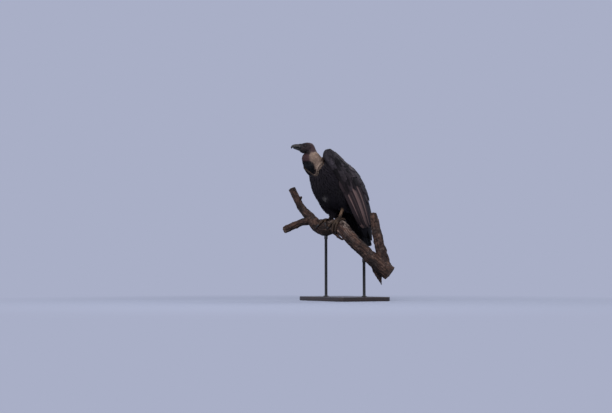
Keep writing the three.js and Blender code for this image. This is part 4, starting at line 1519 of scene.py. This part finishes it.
def secondaries(hand, rng):
    """Long blades laid like slats, each with its front edge over the next, that run from under the
    coverts down most of the wing. They are pale and dark in turns of four and eight. Long loose scapulars
    lie over the wing's rear edge."""
    wing, sign, coat = wings[hand], HANDS[hand], Coat()
    count = 19
    v = np.linspace(0.03, 1.0, count)
    order = np.arange(count)
    pale = (order % 4 == 1) + 0.75 * (order % 4 == 2) * (order % 8 > 3) + 0.15 * (order % 4 == 3)
    dark = mixed(STRIPE_DARK, FLIGHT, 0.8 * step_between(0.5, 0.8, v))
    shade = mixed(dark, STRIPE, pale * step_between(0.74, 0.5, v))
    coat.add(wing, 0.42 + 0.03 * v, v, 1, 40, varied(shade, rng, count, 0.1), rng, low=-7,
             lift=5.5 + rng.uniform(-0.3, 0.3, count), camber=0.16, outline=blade, rows=30, columns=9,
             roll=0.11 * sign, ragged=0.012, thick=0.8, patch=LEFT_HALF,
             to=0.85 + 0.03 * v - 0.03 * (1 - v) ** 8 + rng.uniform(-0.016, 0.016, count))
    behind_hump = lambda u, v, p: (u > 0.21) | (v < 0.9)
    u, v = scattered(wing, rng, (0.12, 0.56), (0.74, 1.04), (26, 16), keep=behind_hump, jitter=0.2)
    place = wing(u, v)
    size = 66 + 46 * step_between(0.15, 0.5, u) + rng.uniform(-8, 8, len(u))
    shade = mottled(varied(SCAPULAR, rng, len(u), 0.35), place, 40, 52, 0.35)
    shade = shade * (1.35 - step_between(-0.1, 0.25, layered(place, 27, 2, 53)))[:, None]
    # Painted shade along the wing's rear edge: scapulars there go nearly black.
    shade = mixed(shade, BELLY * 0.6, step_between(0.88, 0.97, v) * step_between(0.2, 0.32, u))
    coat.add(wing, u, v, size, 36, shade, rng, turn=rng.normal(0, 0.07, len(u)), low=-2, lift=5,
             camber=0.4, rows=12, columns=7, roll=0.03 * sign, patch=RIGHT_HALF)
    return coat


def primaries(hand, rng):
    """Ten blades that start under the secondaries and run on past their tips."""
    coat = Coat()
    v = np.linspace(0.06, 1.0, 10)
    coat.add(wings[hand], 0.62 - 0.01 * v, v, 1, 32 + 4 * v, varied(FLIGHT, rng, 10, 0.1), rng, low=-14,
             lift=2.5, camber=0.1, outline=blade, rows=30, columns=9, roll=0.1 * HANDS[hand],
             ragged=0.012, thick=0.9, to=0.93 + 0.055 * v**0.8 + rng.uniform(-0.006, 0.006, 10))
    return coat


def coat_of_wings(small, flight):
    """Both wings from the wrist down. Each has its own seed, and its three coats draw from it in turn."""
    for seed, hand in enumerate(HANDS, 10):
        rng = np.random.default_rng(seed)
        for part, make, material, slot in (
            ("coverts", coverts, small, "coverts"),
            ("secondaries", secondaries, flight, "quills"),
            ("primaries", primaries, flight, "quills"),
        ):
            make(hand, rng).piece(f"feathers_{part}_{hand}", material, slot, [f"wing_{hand}_{part}"])


def tail_underside(u, v):
    """The tail's surface as seen from below, a feather's thickness in."""
    on, _, _, out = frame_on(tail_surface, u, v)
    return on - 5.5 * out


handed(tail_underside, -1)


def coat_of_tail(material):
    """Twelve broad feathers, the middle ones on top, with coverts over and under their roots."""
    rng = np.random.default_rng(20)
    coat = Coat()
    v = np.linspace(0.07, 0.93, 12)
    span = 2 * v - 1
    coat.add(tail_surface, np.full(12, 0.03), v, 1, 32, varied(FLIGHT, rng, 12, 0.1), rng, low=-3.2,
             lift=2.2 - 1.5 * np.abs(span), camber=0.08, outline=blade, rows=30, columns=9, thick=0.9,
             roll=-0.07 * np.sign(span), ragged=0.012, patch=FIRST_THIRD,
             to=0.985 - 0.03 * np.abs(span) ** 2 + rng.uniform(-0.004, 0.004, 12))
    for surface, end, patch in ((tail_surface, 0.22, SECOND_THIRD), (tail_underside, 0.36, LAST_THIRD)):
        u, v = scattered(surface, rng, (0.03, end), (0.03, 0.97), (15, 12))
        size = 56 + rng.uniform(-6, 6, len(u))
        coat.add(surface, u, v, size, 22, varied(DARK_BODY * 1.5, rng, len(u), 0.16), rng, low=0.5, lift=4,
                 turn=rng.normal(0, 0.06, len(u)), camber=0.3, rows=8, columns=5, patch=patch)
    return coat.piece("feathers_tail", material, "quills", ["tail"])


# The line of the ruff round the neck, from the back over the left side to the front and home.
COLLAR = [
    [0, -86, 329], [30, -96, 328], [46, -114, 317], [55, -131, 298], [56, -146, 281], [52, -152, 265],
    [46, -151, 250], [35, -151, 238], [24, -158, 236], [18, -176, 248], [6, -188, 261], [-12, -193, 272],
    [-33, -184, 286], [-50, -158, 300], [-54, -126, 315], [-30, -97, 328],
]


def collar_surface(u, v):
    """The ruff's leaning ring: v goes once round the neck from the back, and u over the ring's section
    from the neck's side outwards and down. The section is a circle that is largest at the back."""
    u, v = matched(u, v)
    a = math.pi * (0.85 - 1.15 * u)
    middle = through([*COLLAR, COLLAR[0]], v % 1.0)
    out = square_to(RUFF_AXIS, middle - RUFF_MIDDLE)
    size = (2.8 + 7.2 * back_of_ring(v))[..., None]
    return middle + size * (out * np.cos(a)[..., None] + RUFF_AXIS * np.sin(a)[..., None])


handed(collar_surface, -1)


def coat_of_collar(material):
    """Soft curling tufts that stand out from the ring, short and thin under the crop."""
    rng = np.random.default_rng(30)
    coat = Coat()
    thin = lambda v: step_between(0.47, 0.55, v) * step_between(0.85, 0.78, v)
    sparse = lambda u, v, p: rng.uniform(0, 1, len(u)) > 0.7 * thin(v)
    u, v = scattered(collar_surface, rng, (0.02, 0.9), (0.0, 1.0), (1.9, 2.6), keep=sparse, jitter=0.6)
    back, root = back_of_ring(v), collar_surface(u, v)
    size = (8 + 38 * back) * rng.uniform(0.5, 1.3, len(u))
    shade = mixed(CREAM * 0.85, CREAM, step_between(0.0, 0.3, back))
    shade = mixed(shade, FRONT_NECK * 0.8, step_between(0.35, 0.75, u) * step_between(0.6, 0.2, back))
    # Painted shade: the thin part of the ruff under the crop is darkened, where the crop shades it.
    shade = mixed(shade, CREAM * 0.2, thin(v))
    # Painted highlight: tufts low on the left of the ruff are made lighter round a height of 278 mm.
    shade = shade * (1 + 0.5 * bump(root[:, 2], 278, 14) * (root[:, 0] > 30))[:, None]
    # Painted shade in the notch between the neck and the hump: tufts high on the left back of the ruff go
    # dark.
    notch_shadow = step_between(301, 312, root[:, 2]) * step_between(12, 30, root[:, 0])
    shade = mixed(shade, CROWN * 0.5, 0.9 * notch_shadow)
    shade = mottled(varied(shade, rng, len(u), 0.22), root, 16, 60, 0.25)
    coat.add(collar_surface, u, v, size, 2.3, shade, rng, turn=rng.normal(0, 0.6 - 0.3 * back), low=-1.5,
             lift=rng.uniform(0.2, 1, len(u)) * (3 + 13 * back),
             droop=rng.uniform(-9, 3, len(u)) * (0.3 + back),
             camber=0.5, outline=wisp, rows=7, columns=3, thick=0.8, ragged=0.25)
    rim = lambda u, v, p: (np.abs(under_crop(p)) < 2.8) & (p[:, 1] < -138)
    u, v = scattered(neck, rng, (0.7, 1.0), (0.24, 0.76), (1.6, 2.4), keep=rim, jitter=0.5)
    root = neck(u, v)
    shade = mottled(varied(pale_rim(root[:, 0], 0.75), rng, len(u), 0.22), root, 14, 61, 0.3)
    coat.add(neck, u, v, rng.uniform(8, 14, len(u)), 2.6, shade, rng, turn=rng.normal(0, 0.4, len(u)),
             low=-0.5, lift=rng.uniform(2, 5, len(u)), droop=rng.uniform(-2, 1, len(u)), camber=0.5,
             outline=wisp, rows=6, columns=3, thick=0.8, ragged=0.25)
    return coat.piece("down_collar", material, "down", ["ruff"])


def coat_of_neck(material):
    """Dense short down on the hind neck, sparse on the front, dark velvet on the crop, and thin
    bristles over the head."""
    rng = np.random.default_rng(40)
    coat = Coat()

    def kept(u, v, p):
        """Which roots stay, by a draw against how thick the down is there. None stay in the eyes."""
        hind, on_face = hindness(p), faceness(p)
        ahead, _, up = in_head(p)
        crop = step_between(318, 306, p[:, 2] + 0.4 * (p[:, 1] + 200)) * (1 - hind)
        wanted = np.maximum(0.16 + 0.84 * hind, crop) * (1 - on_face) + 0.6 * on_face
        wanted = wanted * step_between(9, 13, eye_distance(ahead, up)) * (over_ruff(p) > -6)
        return rng.uniform(0, 1, len(u)) < wanted

    u, v = scattered(neck, rng, (0.06, 0.93), (0.0, 1.0), (2.7, 2.7), keep=kept, jitter=0.5)
    place = neck(u, v)
    hind, off_face = hindness(place), 1 - faceness(place)
    size = 4.2 + 6.4 * hind * off_face + 4 * step_between(60, 20, over_ruff(place))
    size = size * rng.uniform(0.7, 1.3, len(u))
    shade = mottled(varied(markings(place) * 1.1, rng, len(u), 0.24), place, 9, 62, 0.2)
    lift = 0.7 + (0.5 + 2.4 * hind) * off_face + rng.uniform(0, 0.9, len(u)) * (0.4 + 0.6 * off_face)
    coat.add(neck, u, v, size, 1.0 + 1.6 * off_face, shade, rng, turn=rng.normal(0, 0.36, len(u)), low=-0.8,
             lift=lift, camber=0.4, outline=wisp, rows=5, columns=3, thick=0.4, ragged=0.15)
    return coat.piece("down_neck_and_head", material, "down")


# ---------- finishes ----------
def feather_finish(name, barbs, shaft, rough, edging, tip):
    """Vanes with fine barbs that slant back from the shaft, a paler frayed edge and a shaft line."""
    paint = Paint(name, Roughness=rough, Specular_IOR_Level=0.11)
    across, along, _ = paint.parts(paint.node("ShaderNodeUVMap", {"uv_map": "vane"}))
    half = abs(across - 0.5) * 2
    lines = ((along - half * 0.1) * barbs).sine()
    streak = paint.noise(paint.place(), 240, 3)
    blotch = paint.noise(paint.place(), 48, 2)
    edge = half.rise(0.6, 1.0).most(along.rise(0.8, 1.0))
    centre = half.rise(0.1, 0.02)
    level = 0.52 + streak * 0.42 + blotch * 0.3 + lines * 0.03 + edge * edging
    level = level * (1 - centre * (1 - shaft)) * (1 - along.rise(0.7, 1.0) * tip)
    return paint.set(
        Base_Color=paint.scaled(paint.attribute("tint"), level),
        Normal=paint.relief(lines * 0.22 + centre * 1.6 + streak * 0.9, 0.0003, 0.6),
        Roughness=rough - 0.1 + streak * 0.2,
    )


def down_finish():
    """Matt down that breaks up light and dark in fine grain."""
    paint = Paint("down", Roughness=0.95, Specular_IOR_Level=0.0)
    grain = paint.noise(paint.place(), 420, 2)
    return paint.set(
        Base_Color=paint.scaled(paint.attribute("tint"), 0.78 + grain * 0.44),
        Normal=paint.relief(grain, 0.0003),
    )


def skin_finish():
    """Leathery skin: cells of fine wrinkles, pores, and uneven colour."""
    paint = Paint("bare_skin", Roughness=0.6, Specular_IOR_Level=0.25)
    spot = paint.place()
    cells = paint.cells(spot, 620).rise(0.0, 0.12)
    folds = paint.noise(paint.stretched(spot, (1, 1, 2.4)), 230, 4)
    blotch = paint.noise(spot, 70, 3)
    level = 0.7 + cells * 0.08 + blotch * 0.32 + folds * 0.14
    return paint.set(
        Base_Color=paint.scaled(paint.attribute("tint"), level),
        Normal=paint.relief(cells * 0.25 + folds * 1.2, 0.0008, 0.8),
        Roughness=0.48 + folds * 0.26,
    )


def horn_finish(name, rough, scale, tinted):
    """Bill and claw horn: fine growth lines along the piece, with dull worn patches. The bill is tinted
    by its mesh, and a claw is darker and paler by the patches."""
    paint = Paint(name, Roughness=rough, Specular_IOR_Level=0.35, Coat_Weight=0.05, Coat_Roughness=0.3)
    spot = paint.place()
    lines = paint.noise(paint.stretched(spot, (1, 0.25, 1)), scale, 4)
    worn = paint.noise(spot, 110, 3)
    shade = paint.attribute("tint") if tinted else paint.mix(worn, CLAW_DARK, CLAW_PALE)
    return paint.set(
        Base_Color=paint.scaled(shade, 0.72 + lines * 0.5),
        Normal=paint.relief(lines, 0.00025, 0.7),
        Roughness=rough - 0.08 + worn * 0.24,
    )


def eye_finish():
    """Wet glass over a finely flecked iris."""
    paint = Paint("eye", Roughness=0.25, Specular_IOR_Level=0.25, Coat_Weight=0.35, Coat_Roughness=0.03)
    flecks = paint.noise(paint.place(), 1500, 2)
    return paint.set(Base_Color=paint.scaled(paint.attribute("tint"), 0.7 + flecks * 0.6))


def bark_finish():
    """Weathered dead wood: brown plates between dark fissures that run with the grain, grey-pink where it
    is worn bare, and rings on the cut ends. The grey-pink patches are partly wear near the feet and partly
    a painted highlight on the tops, and painted shade from the mesh darkens the undersides and the knee."""
    paint = Paint("weathered_bark", Roughness=0.88, Specular_IOR_Level=0.3)
    lay = paint.attribute("lay", "Vector")
    spot = paint.place()
    plates = paint.noise(lay, 0.075, 6, 0.62)
    grain = paint.noise(paint.stretched(lay, (1, 1, 0.35)), 0.42, 4)
    patch = paint.noise(spot, 20, 4)
    in_fork = 1 - paint.attribute("clear", "Fac")
    crack = paint.cells(lay, 0.07).rise(0.0, 0.08).most(in_fork)
    plates = plates + (paint.noise(spot, 60, 5) - plates) * in_fork
    browns = colour(36, 25, 22), colour(62, 43, 37), colour(88, 64, 54), colour(120, 94, 83)
    bark = paint.ramp(plates, *zip((0.3, 0.46, 0.6, 0.76), browns))
    bark = paint.mix(patch.rise(0.46, 0.6) * 0.75, bark, colour(40, 30, 28))
    speck = paint.noise(spot, 75, 3).rise(0.42, 0.62)
    # Grey-pink worn patches: partly wear and partly a painted highlight on the tops.
    worn = paint.attribute("worn", "Fac") * (grain.rise(0.3, 0.55) * 0.5 + speck * 0.5)
    bark = paint.mix(worn, bark, colour(176, 157, 147))
    bark = paint.mix((1 - crack) * 0.7, bark, colour(24, 18, 18))
    # Painted shade: the mesh's "shade" darkens the undersides and the knee of the limb.
    bark = paint.scaled(bark, (0.66 + grain * 0.6) * paint.attribute("shade", "Fac"))
    rings = paint.noise(paint.stretched(lay, (1, 1, 0.02)), 0.5, 3)
    cut = paint.mix(rings, colour(104, 84, 70), colour(62, 47, 40))
    return paint.set(
        Base_Color=paint.mix(paint.attribute("cut", "Fac"), bark, cut),
        Normal=paint.relief(plates * 1.2 + grain * 0.6 + crack * 0.8, 0.003, 0.9),
        Roughness=0.74 + plates * 0.24,
    )


def board_finish():
    """A dark stained board: grain along its length under a satin varnish."""
    paint = Paint("stained_board", Roughness=0.42, Coat_Weight=0.25, Coat_Roughness=0.25)
    spot = paint.place()
    grain = paint.noise(paint.stretched(spot, (0.35, 6, 6)), 22, 5, 0.6)
    pores = paint.noise(paint.stretched(spot, (3, 60, 60)), 30, 2)
    stains = colour(30, 22, 19), colour(48, 35, 28), colour(64, 47, 37)
    shade = paint.ramp(grain, *zip((0.3, 0.55, 0.75), stains))
    return paint.set(
        Base_Color=paint.scaled(shade, 0.84 + pores * 0.26),
        Normal=paint.relief(pores * 0.6 + grain * 0.4, 0.00025, 0.6),
        Roughness=0.36 + grain * 0.16,
    )


def steel_finish():
    """Black painted steel with the faint orange peel of a sprayed coat."""
    paint = Paint("painted_steel", Roughness=0.4, Metallic=0.0, Coat_Weight=0.2)
    peel = paint.noise(paint.place(), 900, 2)
    worn = paint.noise(paint.place(), 60, 3)
    shade = paint.mix(worn.rise(0.45, 0.7), colour(26, 26, 27), colour(38, 37, 37))
    return paint.set(Base_Color=shade, Normal=paint.relief(peel, 0.0001, 0.5), Roughness=0.34 + worn * 0.16)


# ---------- room, light and camera ----------
# Metres, in the row's frame.
BACKDROP = (*colour(169, 175, 199), 1)
FLOOR_SHADE = (*colour(157, 163, 185), 1)
FLOOR_REACH, FLOOR_DROP = 14, 0.0006
SKYLIGHT, SKYLIGHT_STRENGTH = (0.92, 0.95, 1.0, 1), 0.68
LAMPS_AIM = (0, 0, 0.5)
# Each lamp's place, size and power in watts.
LAMPS = {
    "key": ((2.6, -2.2, 3.2), 2.4, 92),
    "fill": ((0.6, -3.6, 1.6), 2.6, 22),
    "rim": ((-1.2, 2.8, 3.0), 2.0, 28),
}
CAMERA_AZIMUTH, CAMERA_DISTANCE, CAMERA_HEIGHT = math.radians(60), 5.0, 0.10
AIM_ASIDE, AIM_HEIGHT = 0.168, 0.5236  # the middle of the view: left of the bird's origin, and up
SEEN_WIDTH = 3.427  # across the view at the bird
SENSOR = 36


def unlit_rays(paint):
    """1 for rays that see the background as it is: from the camera, and through gloss and glass."""
    kinds = "Camera", "Glossy", "Transmission"
    camera, gloss, glass = (paint.node("ShaderNodeLightPath", out=f"Is {kind} Ray") for kind in kinds)
    return camera.most(gloss).most(glass)


def pointed(name, data, place, aim):
    """A lamp or camera at a place, turned to look at its aim."""
    holder = placed(name, data)
    holder.location = place
    holder.rotation_euler = Vector(np.subtract(aim, place)).to_track_quat("-Z", "Y").to_euler()
    return holder


def build_floor():
    """A pale square under the stand that fades with distance into the background."""
    mesh = bpy.data.meshes.new("floor")
    corners = np.array([[-1, -1, 0], [1, -1, 0], [1, 1, 0], [-1, 1, 0]]) * FLOOR_REACH
    mesh.from_pydata((corners - [0, 0, FLOOR_DROP]).tolist(), [], [(0, 1, 2, 3)])
    floor = placed("floor", mesh)
    paint = Paint("floor", Roughness=0.9, Base_Color=FLOOR_SHADE)
    x, y, _ = paint.parts(paint.place())
    far = ((x * x + y * y) ** 0.5).rise(0.7, 2.6) * unlit_rays(paint)
    paint.layered_with(far, paint.node("ShaderNodeEmission", inputs={"Color": BACKDROP}), "Material Output")
    mesh.materials.append(paint.material)


def build_light():
    """A world whose light is a little blue and which shows as the backdrop, and three soft lamps."""
    world = bpy.data.worlds.new("studio")
    bpy.context.scene.world = world
    paint = Paint("studio", world, Color=SKYLIGHT, Strength=SKYLIGHT_STRENGTH)
    seen = paint.node("ShaderNodeBackground", inputs={"Color": BACKDROP})
    paint.layered_with(unlit_rays(paint), seen, "World Output")
    for name, (place, size, power) in LAMPS.items():
        lamp = bpy.data.lights.new(name, "AREA")
        lamp.size, lamp.energy = size, power
        pointed(name, lamp, place, LAMPS_AIM)


def build_camera():
    """Near the floor and a long way off, looking up at the bird from its front left."""
    right = np.array([math.cos(CAMERA_AZIMUTH), math.sin(CAMERA_AZIMUTH), 0])
    back = np.array([right[1], -right[0], 0])
    aim = ORIGIN - AIM_ASIDE * right
    aim[2] = AIM_HEIGHT
    spot = aim + CAMERA_DISTANCE * back
    spot[2] = CAMERA_HEIGHT
    camera = bpy.data.cameras.new("camera")
    camera.sensor_width = SENSOR
    camera.lens = SENSOR * float(np.linalg.norm(aim - spot)) / SEEN_WIDTH
    bpy.context.scene.camera = pointed("camera", camera, spot, aim)


# ---------- the whole ----------
bpy.context.scene.view_settings.view_transform = "Standard"
build_camera()
build_floor()
build_light()
small = feather_finish("contour_feathers", 330, 0.8, 0.66, 0.6, 0.0)
flight = feather_finish("flight_feathers", 1500, 0.6, 0.58, 0.3, 0.6)
build_skin(skin_finish())
build_bill(horn_finish("bill_horn", 0.42, 340, tinted=True))
build_eyes(eye_finish())
build_claws(horn_finish("claw_horn", 0.38, 500, tinted=False))
down = down_finish()
coat_of_body(small)
coat_of_back(small)
coat_of_thighs(small)
coat_of_wings(small, flight)
coat_of_tail(flight)
coat_of_collar(down)
coat_of_neck(down)
build_branch(bark_finish())
build_base(board_finish())
build_rods(steel_finish())
